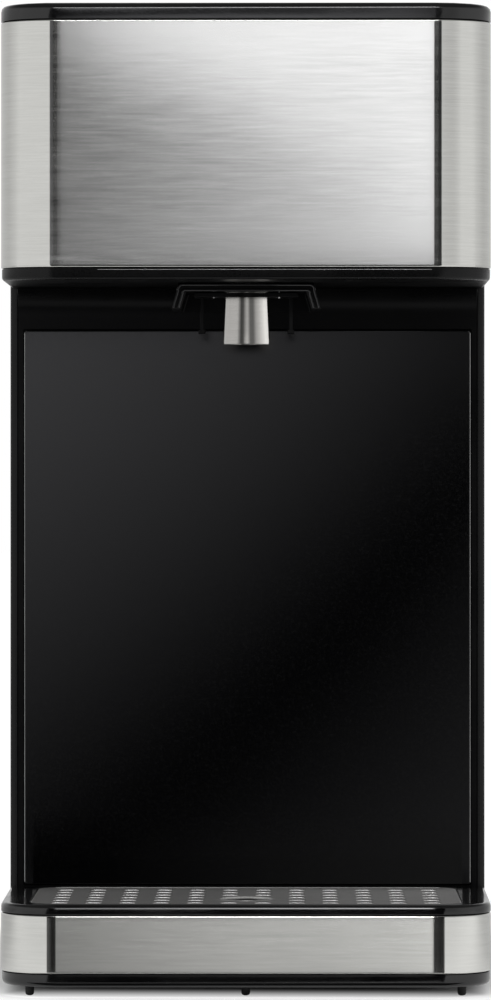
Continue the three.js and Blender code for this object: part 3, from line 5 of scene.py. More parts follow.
import bmesh
import bpy
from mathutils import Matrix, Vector

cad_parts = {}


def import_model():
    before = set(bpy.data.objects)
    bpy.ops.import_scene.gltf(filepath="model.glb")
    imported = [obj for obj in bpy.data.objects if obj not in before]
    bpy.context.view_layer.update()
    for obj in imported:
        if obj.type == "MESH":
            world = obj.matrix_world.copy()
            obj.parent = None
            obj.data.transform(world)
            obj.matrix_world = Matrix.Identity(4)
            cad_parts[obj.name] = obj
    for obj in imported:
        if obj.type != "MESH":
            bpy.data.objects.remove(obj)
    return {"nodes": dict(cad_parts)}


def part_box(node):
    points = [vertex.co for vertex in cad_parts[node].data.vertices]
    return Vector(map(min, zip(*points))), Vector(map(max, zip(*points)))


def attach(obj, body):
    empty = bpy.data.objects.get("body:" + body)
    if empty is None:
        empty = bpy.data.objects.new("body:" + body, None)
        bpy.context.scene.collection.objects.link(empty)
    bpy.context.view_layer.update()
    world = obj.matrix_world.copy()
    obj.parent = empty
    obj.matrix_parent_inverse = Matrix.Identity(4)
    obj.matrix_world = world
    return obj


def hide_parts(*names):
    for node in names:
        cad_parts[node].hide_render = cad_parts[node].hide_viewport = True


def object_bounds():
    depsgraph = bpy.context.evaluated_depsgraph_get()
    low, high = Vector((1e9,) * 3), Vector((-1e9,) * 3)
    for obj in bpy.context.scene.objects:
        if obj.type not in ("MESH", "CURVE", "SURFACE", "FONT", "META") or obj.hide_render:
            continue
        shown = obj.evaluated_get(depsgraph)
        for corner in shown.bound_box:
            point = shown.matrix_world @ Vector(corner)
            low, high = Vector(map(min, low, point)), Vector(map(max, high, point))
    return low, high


MM = 0.001

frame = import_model()
cad_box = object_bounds()


# Node trees

class Tree:
    """A node tree with short calls for the nodes that the finishes share."""

    def __init__(self, tree):
        self.tree = tree
        self.tree.nodes.clear()

    def node(self, kind, *values, **named):
        """Adds a node. Values fill its inputs in order; names are inputs or settings of the node."""
        node = self.tree.nodes.new("ShaderNode" + kind)
        settings = {k: v for k, v in named.items() if k in node.bl_rna.properties}
        for key, value in settings.items():
            setattr(node, key, value)
        for socket, value in zip(node.inputs, values):
            self.fill(socket, value)
        for key, value in named.items():
            if key not in settings:
                self.fill(node.inputs[key.replace("_", " ")], value)
        return node

    def fill(self, socket, value):
        if value is None:
            return
        if isinstance(value, bpy.types.NodeSocket):
            self.tree.links.new(value, socket)
        elif socket.type == "RGBA" and not hasattr(value, "__len__"):
            socket.default_value = (value, value, value, 1)
        elif socket.type == "RGBA":
            socket.default_value = (*value, 1)
        else:
            socket.default_value = value

    def math(self, operation, *values):
        return self.node("Math", *values, operation=operation).outputs[0]

    def plus(self, total, *others):
        for other in others:
            total = self.math("ADD", total, other)
        return total

    def minus(self, value, less):
        return self.math("SUBTRACT", value, less)

    def times(self, product, *others):
        for other in others:
            product = self.math("MULTIPLY", product, other)
        return product

    def place(self, scale=(1, 1, 1)):
        """The object's own coordinates, in metres, times a scale along each axis."""
        coordinates = self.node("TexCoord").outputs["Object"]
        return self.node("Mapping", Vector=coordinates, Scale=scale).outputs[0]

    def axes(self):
        """The object's own x, y and z, in metres."""
        return self.node("SeparateXYZ", self.place()).outputs

    def grey(self, value):
        return self.node("CombineColor", value, value, value).outputs[0]

    def noise(self, vector, scale, detail=3.0, roughness=0.55):
        return self.node(
            "TexNoise", Vector=vector, Scale=scale, Detail=detail, Roughness=roughness
        ).outputs["Fac"]

    def span(self, value, low, high, start=0.0, end=1.0):
        """Maps a value from start..end to low..high."""
        return self.node("MapRange", value, start, end, low, high).outputs[0]

    def tone(self, value, dark, light, start=0.0, end=1.0):
        """A colour between dark and light, by a value from start to end."""
        factor = self.span(value, 0.0, 1.0, start, end)
        mix = self.node("Mix", data_type="RGBA")
        self.fill(mix.inputs["Factor"], factor)
        self.fill(mix.inputs[6], dark)
        self.fill(mix.inputs[7], light)
        return mix.outputs[2]

    def ramp(self, value, stops):
        """A level that follows straight lines between stops of (value, level)."""
        first, last = stops[0][0], stops[-1][0]
        peak = max(level for _, level in stops)
        node = self.node("ValToRGB", self.span(value, 0.0, 1.0, first, last))
        elements = node.color_ramp.elements
        for place, level in stops:
            if place == first:
                element = elements[0]
            elif place == last:
                element = elements[len(elements) - 1]
            else:
                element = elements.new((place - first) / (last - first))
            element.color = (level / peak, level / peak, level / peak, 1)
        return self.times(node.outputs[0], peak)

    def bump(self, height, distance, strength):
        return self.node("Bump", Height=height, Distance=distance, Strength=strength).outputs[0]

    def output(self, shader, kind="OutputMaterial"):
        self.node(kind, shader)


def material(name):
    made = bpy.data.materials.new(name)
    made.use_nodes = True
    return made, Tree(made.node_tree)


def principled(name, build, **fixed):
    """A material whose build function returns the linked inputs; fixed inputs stay on the sockets."""
    made, tree = material(name)
    shader = tree.node("BsdfPrincipled", **build(tree), **fixed)
    tree.output(shader.outputs[0])
    return made


# Finishes. Noise stays near its middle, so a range names the part of it that a tone runs over

MIDDLE = (0.3, 0.7)
UPPER = (0.35, 0.7)
GRAIN = (0.36, 0.64)
FINE_SHARE = 0.8
GRAIN_SHARE = 0.78
LONGER = (0.42, 0.10)
CLOUDS = (18, 18, 32)


def brushed(tree, grain_scale, dark, light, rough):
    """Fine scratches along the axes with the low scale, longer ones and soft clouds under them."""
    across, along = LONGER
    longer = [s * (across if s == max(grain_scale) else along) for s in grain_scale]
    fine = tree.noise(tree.place(grain_scale), 1.0, 4.0, 0.7)
    broad = tree.noise(tree.place(longer), 1.0, 2.0, 0.5)
    clouds = tree.noise(tree.place(CLOUDS), 1.0, 3.0, 0.6)
    grain = tree.plus(tree.times(fine, FINE_SHARE), tree.times(broad, 1 - FINE_SHARE))
    worn = tree.plus(tree.times(grain, GRAIN_SHARE), tree.times(clouds, 1 - GRAIN_SHARE))
    return {
        "Base_Color": tree.tone(worn, dark, light, *GRAIN),
        "Roughness": tree.span(worn, rough - 0.02, rough + 0.03, *GRAIN),
        "Normal": tree.bump(grain, 3e-6, 0.5),
    }


def steel(name, grain_scale, dark, light, rough, stretch=0.0):
    """Brushed steel. Highlights on upright steel stretch up and down by a share of 1."""
    def build(tree):
        inputs = brushed(tree, grain_scale, dark, light, rough)
        if stretch:
            inputs["Tangent"] = tree.node("CombineXYZ", 0.0, 0.0, 1.0).outputs[0]
        return inputs
    return principled(name, build, Metallic=1.0, Anisotropic=stretch)


def bright_steel():
    """Turned steel: fine rings round the middle of the piece."""
    def build(tree):
        centred = tree.node(
            "Mapping", Vector=tree.node("TexCoord").outputs["Generated"], Location=(-0.5, -0.5, 0)
        ).outputs[0]
        flat = tree.node("VectorMath", centred, (1, 1, 0), operation="MULTIPLY").outputs[0]
        radius = tree.node("VectorMath", flat, operation="LENGTH").outputs["Value"]
        rings = tree.noise(tree.node("CombineXYZ", radius, 0.0, 0.0).outputs[0], 90, 2.0)
        return {
            "Base_Color": tree.tone(rings, (0.52, 0.52, 0.51), (0.68, 0.68, 0.665), *MIDDLE),
            "Roughness": tree.span(rings, 0.16, 0.28, *MIDDLE),
            "Normal": tree.bump(rings, 1.2e-5, 0.5),
        }
    return principled("bright_steel", build, Metallic=1.0)


def moulded(name, colour, light, rough, grain=1900, depth=2.5e-5, **fixed):
    """Moulded plastic with a fine sparked grain and a faint bloom."""
    def build(tree):
        place = tree.place()
        fine = tree.noise(place, grain, 3.0, 0.6)
        bloom = tree.noise(place, 28, 3.0)
        return {
            "Base_Color": tree.tone(bloom, colour, light, *UPPER),
            "Roughness": tree.span(tree.plus(fine, bloom), rough - 0.05, rough + 0.06, 0.8, 1.2),
            "Normal": tree.bump(fine, depth, 0.6),
        }
    return principled(name, build, **fixed)


def gloss(name, colour, rough):
    """Polished plastic or glass: faint long ripples and a trace of dust on the gloss."""
    def build(tree):
        place = tree.place()
        waves = tree.noise(place, 16, 1.0)
        dust = tree.noise(place, 900, 2.0, 0.7)
        return {
            "Base_Color": tree.tone(dust, colour, [c + 0.002 for c in colour], 0.5, 0.8),
            "Roughness": tree.span(dust, rough, rough + 0.05, 0.45, 0.8),
            "Normal": tree.bump(waves, 3e-5, 0.6),
        }
    return principled(name, build, IOR=1.5)


def painted_highlight_metal():
    """Bright metal for painted highlights on edges, with streaks along its height."""
    def build(tree):
        streaks = tree.noise(tree.place((900, 900, 60)), 1.0)
        return {
            "Base_Color": tree.tone(streaks, (0.55, 0.55, 0.55), (0.8, 0.8, 0.79), *MIDDLE),
            "Roughness": tree.span(streaks, 0.1, 0.2, *MIDDLE),
        }
    return principled("painted_highlight_metal", build, Metallic=1.0)


def smoke_plastic():
    """Clear plastic with a grey tint and slow ripples."""
    def build(tree):
        place = tree.place()
        waves = tree.noise(place, 22, 2.0)
        fine = tree.noise(place, 1400, 2.0)
        return {
            "Base_Color": tree.tone(waves, (0.50, 0.52, 0.54), (0.58, 0.60, 0.62), *MIDDLE),
            "Roughness": tree.span(fine, 0.03, 0.08, 0.4, 0.7),
            "Normal": tree.bump(waves, 6e-5, 0.5),
        }
    return principled("smoke_plastic", build, IOR=1.49, Transmission_Weight=1.0)


def green_board():
    """Solder mask with straight tracks, pads and small vias."""
    def build(tree):
        place = tree.place()
        tracks = tree.node(
            "TexBrick", Vector=place, Scale=260.0, Mortar_Size=0.03, Brick_Width=0.9, Row_Height=0.3
        ).outputs["Fac"]
        cells = tree.node("TexVoronoi", Vector=place, Scale=240.0).outputs["Distance"]
        vias = tree.math("LESS_THAN", cells, 0.16)
        copper = tree.math("MAXIMUM", tracks, vias)
        mask = tree.tone(copper, (0.012, 0.085, 0.03), (0.05, 0.22, 0.085))
        return {
            "Base_Color": tree.tone(vias, mask, (0.56, 0.5, 0.36)),
            "Roughness": tree.span(copper, 0.32, 0.42),
            "Normal": tree.bump(copper, 3e-5, 0.6),
        }
    return principled("green_board", build)


def cast_aluminium():
    """Sand-cast metal with fine pits."""
    def build(tree):
        place = tree.place()
        pits = tree.noise(place, 700, 4.0, 0.7)
        skin = tree.noise(place, 60, 3.0)
        return {
            "Base_Color": tree.tone(skin, (0.42, 0.425, 0.43), (0.56, 0.565, 0.57), *UPPER),
            "Roughness": tree.span(pits, 0.38, 0.6, *UPPER),
            "Normal": tree.bump(pits, 6e-5, 0.6),
        }
    return principled("cast_aluminium", build, Metallic=1.0)


def silicone():
    def build(tree):
        place = tree.place()
        haze = tree.noise(place, 120, 3.0)
        return {
            "Base_Color": tree.tone(haze, (0.62, 0.60, 0.55), (0.74, 0.72, 0.67), *MIDDLE),
            "Roughness": tree.span(haze, 0.42, 0.58, *MIDDLE),
            "Normal": tree.bump(tree.noise(place, 1500, 2.0), 1.5e-5, 0.5),
        }
    return principled(
        "pale_silicone", build, Subsurface_Weight=0.15, Subsurface_Scale=0.002, Sheen_Weight=0.1
    )


def painted_highlight_steel():
    """Paler steel for a painted highlight on the lit rim and wall of the drip plate."""
    def build(tree):
        specks = tree.noise(tree.place(), 1100, 3.0, 0.7)
        return {
            "Base_Color": tree.tone(specks, (0.40, 0.40, 0.39), (0.62, 0.62, 0.605), 0.35, 0.65),
            "Roughness": tree.span(specks, 0.32, 0.5, *MIDDLE),
        }
    return principled("painted_highlight_steel", build, Metallic=0.35)


def print_ink():
    """Pale printing ink, a little uneven."""
    def build(tree):
        patches = tree.noise(tree.place(), 1200, 2.0)
        return {
            "Base_Color": tree.tone(patches, (0.5, 0.5, 0.5), (0.62, 0.62, 0.62), *MIDDLE),
            "Roughness": tree.span(patches, 0.45, 0.6, *MIDDLE),
        }
    return principled("print_ink", build)


BLACK = (0.0024, 0.0024, 0.0026)
BLACK_WORN = (0.0042, 0.0042, 0.0044)

FINISHES = {
    "brushed_steel": steel(
        "brushed_steel_wrap", (55, 55, 1500), (0.568, 0.567, 0.543), (0.648, 0.647, 0.622), 0.11, 1.0
    ),
    "bright_steel": bright_steel(),
    "black_plastic": moulded("black_plastic", BLACK, BLACK_WORN, 0.13, 1500, 4e-6),
    "black_gloss": gloss("black_gloss", (0.0010, 0.0010, 0.0012), 0.12),
    "display_gloss": gloss("display_gloss", (0.003, 0.005, 0.007), 0.02),
    "smoke_plastic": smoke_plastic(),
    "white_plastic": moulded("white_plastic", (0.62, 0.62, 0.60), (0.70, 0.70, 0.68), 0.45),
    "green_board": green_board(),
    "cast_aluminium": cast_aluminium(),
    "black_rubber": moulded("black_rubber", 0.007, 0.012, 0.72, 900, 5e-5),
    "pale_silicone": silicone(),
}
INNER_BLACK = moulded(
    "inner_black_plastic", (0.010, 0.010, 0.0105), (0.015, 0.015, 0.0155), 0.45, 1500, 8e-6
)
FRAME_BLACK = moulded(
    "frame_black_plastic", BLACK, BLACK_WORN, 0.3, 1700, 1e-5, Specular_IOR_Level=0.2
)
COVE_BLACK = moulded(
    "cove_black_plastic", BLACK, BLACK_WORN, 0.3, 1700, 1e-5, Specular_IOR_Level=0.07
)
PLATE_STEEL = steel(
    "brushed_steel_plate", (150, 1700, 150), (0.60, 0.59, 0.58), (0.78, 0.77, 0.76), 0.34
)
TURNED_STEEL = steel(
    "brushed_steel_turned", (160, 160, 2600), (0.565, 0.55, 0.525), (0.635, 0.62, 0.595), 0.18, 0.9
)
# Painted highlight: bright metal on the gloss panel's side edges and on the line under the head's
# steel.
EDGE = painted_highlight_metal()
# Painted highlight: paler steel on the lit rear bead and hole wall of the drip plate.
LIT_STEEL = painted_highlight_steel()
INK = print_ink()


# Solids keep their shape: welded, smoothed between flat faces, and given a fine edge radius in mm

WELD_DISTANCE = 2e-6
SHARP_ANGLE = math.radians(32)
EDGE_ANGLE = math.radians(40)
EDGE_SEGMENTS = 2
EDGE_RADIUS = {
    "front_frame": 0.35, "spout_shroud": 0.45, "spout_carrier": 0.2, "tank_lid": 0.3, "water_tank": 0.3,
    "control_panel": 0.25, "display_window": 0.2, "heater_block": 0.6, "steam_separator": 0.4,
    "pump_cradle": 0.5, "triac_heatsink": 0.2, "cord_gland": 0.4,
    "head_housing": 0.3, "top_cover": 0.3, "drip_tray": 0.35, "base_pan": 0.3,
    "foot_front_left": 0.9, "foot_front_centre": 0.9, "foot_front_right": 0.9,
    "foot_rear_left": 0.9, "foot_rear_right": 0.9,
}
OWN_FINISH = {
    "left_side_cover": FRAME_BLACK, "right_side_cover": FRAME_BLACK, "head_housing": FRAME_BLACK,
    "front_frame": COVE_BLACK, "spout_shroud": COVE_BLACK, "spout_carrier": COVE_BLACK,
    "base_housing": INNER_BLACK, "tank_bay_wall": INNER_BLACK, "pump_cradle": INNER_BLACK,
    "steam_separator": INNER_BLACK,
}


def smoothing_group():
    """Joins a mesh's split corners and shades it smooth up to the sharp angle."""
    tree = bpy.data.node_groups.new("weld_and_shade", "GeometryNodeTree")
    tree.interface.new_socket("Geometry", in_out="INPUT", socket_type="NodeSocketGeometry")
    tree.interface.new_socket("Geometry", in_out="OUTPUT", socket_type="NodeSocketGeometry")
    make, link = tree.nodes.new, tree.links.new
    start, end = make("NodeGroupInput"), make("NodeGroupOutput")
    bare = make("GeometryNodeRemoveAttribute")
    bare.inputs["Name"].default_value = "custom_normal"
    weld = make("GeometryNodeMergeByDistance")
    weld.inputs["Distance"].default_value = WELD_DISTANCE
    faces = make("GeometryNodeSetShadeSmooth")
    faces.domain = "FACE"
    edges = make("GeometryNodeSetShadeSmooth")
    edges.domain = "EDGE"
    edges.inputs["Shade Smooth"].default_value = False
    angle = make("GeometryNodeInputMeshEdgeAngle")
    sharp = make("FunctionNodeCompare")
    sharp.operation = "GREATER_THAN"
    sharp.inputs[1].default_value = SHARP_ANGLE
    link(start.outputs[0], bare.inputs["Geometry"])
    link(bare.outputs[0], weld.inputs["Geometry"])
    link(weld.outputs[0], faces.inputs["Geometry"])
    link(faces.outputs[0], edges.inputs["Geometry"])
    link(angle.outputs["Unsigned Angle"], sharp.inputs[0])
    link(sharp.outputs[0], edges.inputs["Selection"])
    link(edges.outputs[0], end.inputs[0])
    return tree


SMOOTHING = smoothing_group()


def dress(name, node):
    """Gives a solid its slot's finish, smooth shading and rounded edges."""
    finish = OWN_FINISH.get(name) or FINISHES[node.data.materials[0].name]
    node.material_slots[0].link = "OBJECT"
    node.material_slots[0].material = finish
    weld = node.modifiers.new("weld_and_shade", "NODES")
    weld.node_group = SMOOTHING
    radius = EDGE_RADIUS.get(name, 0.0)
    if radius:
        bevel = node.modifiers.new("edge_radius", "BEVEL")
        bevel.width = radius * MM
        bevel.segments = EDGE_SEGMENTS
        bevel.limit_method = "ANGLE"
        bevel.angle_limit = EDGE_ANGLE
        bevel.harden_normals = False
    flat_faces_first(node)


def flat_faces_first(piece):
    """Keeps large faces flat beside rounded edges."""
    normals = piece.modifiers.new("flat_faces_first", "WEIGHTED_NORMAL")
    normals.keep_sharp = True


for node_name, cad_node in frame["nodes"].items():
    dress(node_name, cad_node)


# Meshes

def finish_mesh(name, bm, body, materials, replaced=(), crease=SHARP_ANGLE):
    """Turns a bmesh into a piece that rides on a body."""
    bmesh.ops.recalc_face_normals(bm, faces=bm.faces)
    for face in bm.faces:
        face.smooth = True
    for edge in bm.edges:
        edge.smooth = len(edge.link_faces) < 2 or edge.calc_face_angle() < crease
    mesh = bpy.data.meshes.new(name)
    bm.to_mesh(mesh)
    bm.free()
    for each in materials:
        mesh.materials.append(each)
    piece = bpy.data.objects.new(name, mesh)
    bpy.context.scene.collection.objects.link(piece)
    flat_faces_first(piece)
    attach(piece, body)
    if replaced:
        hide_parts(*replaced)


def loft(bm, rings, ring_closed, loft_closed, index=0):
    """Faces between rings of equal length. Returns the rings of vertices."""
    rows = [[bm.verts.new(point) for point in ring] for ring in rings]
    pairs = list(zip(rows, rows[1:] + rows[:1])) if loft_closed else list(zip(rows, rows[1:]))
    for a, b in pairs:
        count = len(a) if ring_closed else len(a) - 1
        for i in range(count):
            j = (i + 1) % len(a)
            face = bm.faces.new((a[i], a[j], b[j], b[i]))
            face.material_index = index
    return rows


def middle_of(low, high):
    """The middle of a box, seen from above."""
    return (low.x + high.x) / 2, (low.y + high.y) / 2


def arc(centre, radius, start, end, steps):
    """Points of an arc in a plane, angles in degrees, both ends included."""
    points = []
    for i in range(steps + 1):
        turn = math.radians(start + (end - start) * i / steps)
        points.append((centre[0] + radius * math.cos(turn), centre[1] + radius * math.sin(turn)))
    return points


# Steel wraps of the head and the base

CORNER_RADIUS = 19.6 * MM
FRONT_HALF = 83.6 * MM
SHEET = 0.8 * MM
ROLL = 0.55 * MM
SUPPORT = 0.3 * MM
CORNER_STEPS = 40
ROLL_STEPS = 5


def wrap_outline(inset, front, back, back_half):
    """The plan of a wrap: side, rounded corner, front, rounded corner, side."""
    y = front + CORNER_RADIUS
    x = FRONT_HALF - CORNER_RADIUS
    radius = CORNER_RADIUS - inset
    left = arc((-x, y), radius, 180, 270, CORNER_STEPS)
    right = arc((x, y), radius, 270, 360, CORNER_STEPS)
    return [
        (inset - back_half, back),
        (inset - FRONT_HALF, y + SUPPORT),
        *left,
        (SUPPORT - x, front + inset),
        (x - SUPPORT, front + inset),
        *right,
        (FRONT_HALF - inset, y + SUPPORT),
        (back_half - inset, back),
    ]


def wrap_profile(low, high):
    """The sheet's section as (inset, height), with both outer edges rolled."""
    top = [(ROLL - ROLL * math.cos(t), high - ROLL + ROLL * math.sin(t)) for t in quarter()]
    bottom = [(ROLL - ROLL * math.sin(t), low + ROLL - ROLL * math.cos(t)) for t in quarter()]
    return [
        (0, low + ROLL + SUPPORT), (0, high - ROLL - SUPPORT), *top,
        (SHEET, high), (SHEET, low), *bottom,
    ]


def quarter():
    """The turns of a rolled edge, from 0 to a right angle."""
    return [i / ROLL_STEPS * math.pi / 2 for i in range(ROLL_STEPS + 1)]


def wrap(name, node):
    """A bent sheet, open at the back, in the place of a solid."""
    low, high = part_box(node)
    bm = bmesh.new()
    rings = [
        [(x, y, z) for x, y in wrap_outline(inset, low.y, high.y, high.x)]
        for inset, z in wrap_profile(low.z, high.z)
    ]
    rows = loft(bm, rings, False, True)
    bm.faces.new([row[0] for row in rows])
    bm.faces.new([row[-1] for row in rows])
    finish_mesh(name, bm, "appliance", [FINISHES["brushed_steel"]], [node])


wrap("head_wrap", "head_cover")
wrap("base_wrap", "base_band")


# Gloss panel with a painted highlight on its side edges

PANEL_CORNER = 1.2 * MM
PANEL_CORNER_STEPS = 6
PANEL_ROLL = 0.4 * MM
BRIGHT_EDGE = 0.2 * MM


def panel_outline(low, high, inset):
    """A rounded rectangle in the panel's plane, anticlockwise from the lower left corner."""
    radius = PANEL_CORNER - inset
    x, z0, z1 = high.x - PANEL_CORNER, low.z + PANEL_CORNER, high.z - PANEL_CORNER
    centres = [((-x, z0), 180), ((x, z0), 270), ((x, z1), 0), ((-x, z1), 90)]
    return [
        point for centre, start in centres
        for point in arc(centre, radius, start, start + 90, PANEL_CORNER_STEPS)
    ]


def gloss_panel():
    low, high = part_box("front_panel")
    bm = bmesh.new()
    sections = [(0, high.y), (0, low.y + PANEL_ROLL)]
    sections += [
        (PANEL_ROLL - PANEL_ROLL * math.cos(t), low.y + PANEL_ROLL - PANEL_ROLL * math.sin(t))
        for t in quarter()[1:]
    ]
    sections.append((PANEL_ROLL + SUPPORT, low.y))
    rings = [
        [(x, y, z) for x, z in panel_outline(low, high, inset)] for inset, y in sections
    ]
    rows = loft(bm, rings, True, False, 1)
    bm.faces.new(rows[0])
    bm.faces.new(rows[-1])
    middle = (low.z + high.z) / 2
    # The side faces take the bright metal, a painted highlight where the panel's edges catch the light.
    for face in bm.faces:
        centre = face.calc_center_median()
        side = abs(centre.x) > high.x - BRIGHT_EDGE and abs(centre.z - middle) < middle
        face.material_index = 1 if side and face.material_index == 1 else 0
    materials = [FINISHES["black_gloss"], EDGE]
    finish_mesh("gloss_panel", bm, "appliance", materials, ["front_panel"])


gloss_panel()


# Spout sleeve, turned from one outline

TURN_STEPS = 96
SPOUT_FOOT_RADIUS = 8.1 * MM
SPOUT_RADIUS = 7.5 * MM
SPOUT_LIP = 0.35 * MM
SPOUT_TAPER = 15 * MM
SPOUT_FLANGE = 1.0 * MM
SPOUT_STEP = 0.02 * MM


def turned(bm, outline, centre, steps):
    """A closed outline of (radius, height) turned about an upright axis."""
    rings = []
    for i in range(steps):
        turn = 2 * math.pi * i / steps
        across = (math.cos(turn), math.sin(turn))
        rings.append([(centre[0] + r * across[0], centre[1] + r * across[1], z) for r, z in outline])
    loft(bm, rings, True, True)


def spout():
    low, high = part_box("spout_sleeve")
    centre = middle_of(low, high)
    foot, neck, wall = SPOUT_FOOT_RADIUS, SPOUT_RADIUS, SPOUT_RADIUS - SHEET
    flange = high.x - centre[0]
    taper_top, flange_low = low.z + SPOUT_TAPER, high.z - SPOUT_FLANGE
    lip_level = low.z + SPOUT_LIP
    lip = [
        (foot - SHEET / 2 + SHEET / 2 * math.sin(t), lip_level - SPOUT_LIP * math.cos(t))
        for t in [turn - math.pi / 4 for turn in quarter()]
    ]
    outline = [
        (foot - SHEET, lip_level), *lip, (foot - SPOUT_STEP, low.z + 2 * SPOUT_LIP),
        (neck, taper_top), (neck, flange_low), (flange, flange_low), (flange, high.z),
        (wall, high.z), (wall, taper_top),
    ]
    bm = bmesh.new()
    turned(bm, outline, centre, TURN_STEPS)
    finish_mesh("spout_tube", bm, "appliance", [TURNED_STEEL], ["spout_sleeve"])


spout()


# Beads along the outer and the inner edge of the hood's open front

HOOD_TOP_HALF = 23.4 * MM
HOOD_FOOT_HALF = 25.6 * MM
HOOD_WALL = 2.8 * MM
HOOD_BEAD = 0.5 * MM
HOOD_CORNER = 1.6 * MM
HOOD_CORNER_STEPS = 8
HOOD_BEAD_SINK = 0.2
BEAD_SIDES = 10
BEAD_CREASE = math.radians(60)


def hood_line(inset, low, high, radius):
    """The hood's outline at an inset as points (x, z), with rounded upper corners."""
    lean = (HOOD_FOOT_HALF - HOOD_TOP_HALF) / (high - low)
    slope = math.degrees(math.atan(lean))
    top, foot = high - inset, low
    centre_z = top - radius
    centre_x = HOOD_TOP_HALF - inset - radius + lean * (high - centre_z)
    right = arc((centre_x, centre_z), radius, 90, -slope, HOOD_CORNER_STEPS)
    right.append((HOOD_FOOT_HALF - inset, foot))
    left = [(-x, z) for x, z in right]
    return left[::-1] + right


def bead_along(bm, line, y, radius):
    """A round bead that follows a line of points (x, z) at a depth y."""
    rings = []
    for i, (x, z) in enumerate(line):
        before, after = line[max(i - 1, 0)], line[min(i + 1, len(line) - 1)]
        along = Vector((after[0] - before[0], 0, after[1] - before[1])).normalized()
        across = Vector((-along.z, 0, along.x))
        turns = [2 * math.pi * k / BEAD_SIDES for k in range(BEAD_SIDES)]
        rings.append([
            Vector((x, y, z)) + radius * (math.cos(t) * across + math.sin(t) * Vector((0, 1, 0)))
            for t in turns
        ])
    rows = loft(bm, rings, True, False)
    bm.faces.new(rows[0])
    bm.faces.new(rows[-1])


def hood_beads():
    low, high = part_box("spout_shroud")
    bm = bmesh.new()
    for inset, corner in ((HOOD_BEAD, HOOD_CORNER), (HOOD_WALL - HOOD_BEAD, HOOD_CORNER / 2)):
        line = hood_line(inset, low.z + HOOD_BEAD, high.z, corner)
        bead_along(bm, line, low.y + HOOD_BEAD_SINK * HOOD_BEAD, HOOD_BEAD)
    black = FINISHES["black_plastic"]
    finish_mesh("hood_beads", bm, "appliance", [black], crease=BEAD_CREASE)


hood_beads()


# A painted highlight: a fine bright line along the head's lower rim, under the steel

LIP_LINE = (-50.0 * MM, 63.0 * MM)
LIP_LINE_LEVEL = 246.5 * MM
LIP_LINE_RADIUS = 0.08 * MM
LIP_LINE_SINK = 0.4


def lip_highlight_bead():
    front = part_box("head_housing")[0].y
    bm = bmesh.new()
    line = [(x, LIP_LINE_LEVEL) for x in LIP_LINE]
    bead_along(bm, line, front + LIP_LINE_SINK * LIP_LINE_RADIUS, LIP_LINE_RADIUS)
    finish_mesh("lip_highlight_bead", bm, "appliance", [EDGE], crease=BEAD_CREASE)


lip_highlight_bead()


# Marks on the top: a ring round each button, and the digits of the display

MARK_RISE = 0.05 * MM
RING_RADIUS = 8.3 * MM
RING_WIDTH = 0.4 * MM
RING_STEPS = 64
DIGIT_HALF = (1.8 * MM, 3.3 * MM)
DIGIT_PITCH = 5.6 * MM
SEGMENT_WIDTH = 0.8 * MM
SEGMENT_GAP = 0.12 * MM
DIGIT_SEGMENTS = {"0": "abcdef", "2": "abdeg", "5": "acdfg", "9": "abcdfg"}
READING_PLACES = {"95": -19 * MM, "250": 13 * MM}
DEGREE_PLACE = -9.6 * MM
DEGREE_RADIUS = 0.9 * MM
DEGREE_WIDTH = 0.45 * MM


def flat_ring(bm, centre, radius, width, level):
    """A thin ring that stands a little above a level surface."""
    inner, outer = radius - width / 2, radius + width / 2
    low, high = level - MARK_RISE, level + MARK_RISE
    turned(bm, [(inner, low), (outer, low), (outer, high), (inner, high)], centre, RING_STEPS)


def flat_bar(bm, centre, half, upright_bar, level):
    """One bar of a digit, pointed at both ends."""
    tip, side = half - SEGMENT_GAP, SEGMENT_WIDTH / 2
    shoulder = tip - side
    points = [
        (tip, 0), (shoulder, side), (-shoulder, side), (-tip, 0), (-shoulder, -side), (shoulder, -side),
    ]
    if upright_bar:
        points = [(-y, x) for x, y in points]
    rings = [
        [(centre[0] + x, centre[1] + y, z) for x, y in points]
        for z in (level - MARK_RISE, level + MARK_RISE)
    ]
    rows = loft(bm, rings, True, False)
    bm.faces.new(rows[0])
    bm.faces.new(rows[-1])


def digit_bars(centre):
    """Centre, half length and direction of each bar, by its usual letter."""
    x, y = centre
    wide, tall = DIGIT_HALF
    half = tall / 2
    return {
        "a": ((x, y + tall), wide, False), "g": ((x, y), wide, False),
        "d": ((x, y - tall), wide, False), "b": ((x + wide, y + half), half, True),
        "c": ((x + wide, y - half), half, True), "e": ((x - wide, y - half), half, True),
        "f": ((x - wide, y + half), half, True),
    }


def button_rings():
    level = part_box("control_panel")[1].z
    bm = bmesh.new()
    for name in ("temperature_button", "start_button", "amount_button"):
        flat_ring(bm, middle_of(*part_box(name)), RING_RADIUS, RING_WIDTH, level)
    finish_mesh("button_rings", bm, "appliance", [INK])


def display_digits():
    low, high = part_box("display_window")
    middle_y = middle_of(low, high)[1]
    bm = bmesh.new()
    for reading, middle_x in READING_PLACES.items():
        for i, digit in enumerate(reading):
            centre = (middle_x + (i - (len(reading) - 1) / 2) * DIGIT_PITCH, middle_y)
            bars = digit_bars(centre)
            for letter in DIGIT_SEGMENTS[digit]:
                flat_bar(bm, *bars[letter], high.z)
    degree = (DEGREE_PLACE, middle_y + DIGIT_HALF[1] - DEGREE_RADIUS)
    flat_ring(bm, degree, DEGREE_RADIUS, DEGREE_WIDTH, high.z)
    finish_mesh("display_digits", bm, "appliance", [INK])


button_rings()
display_digits()
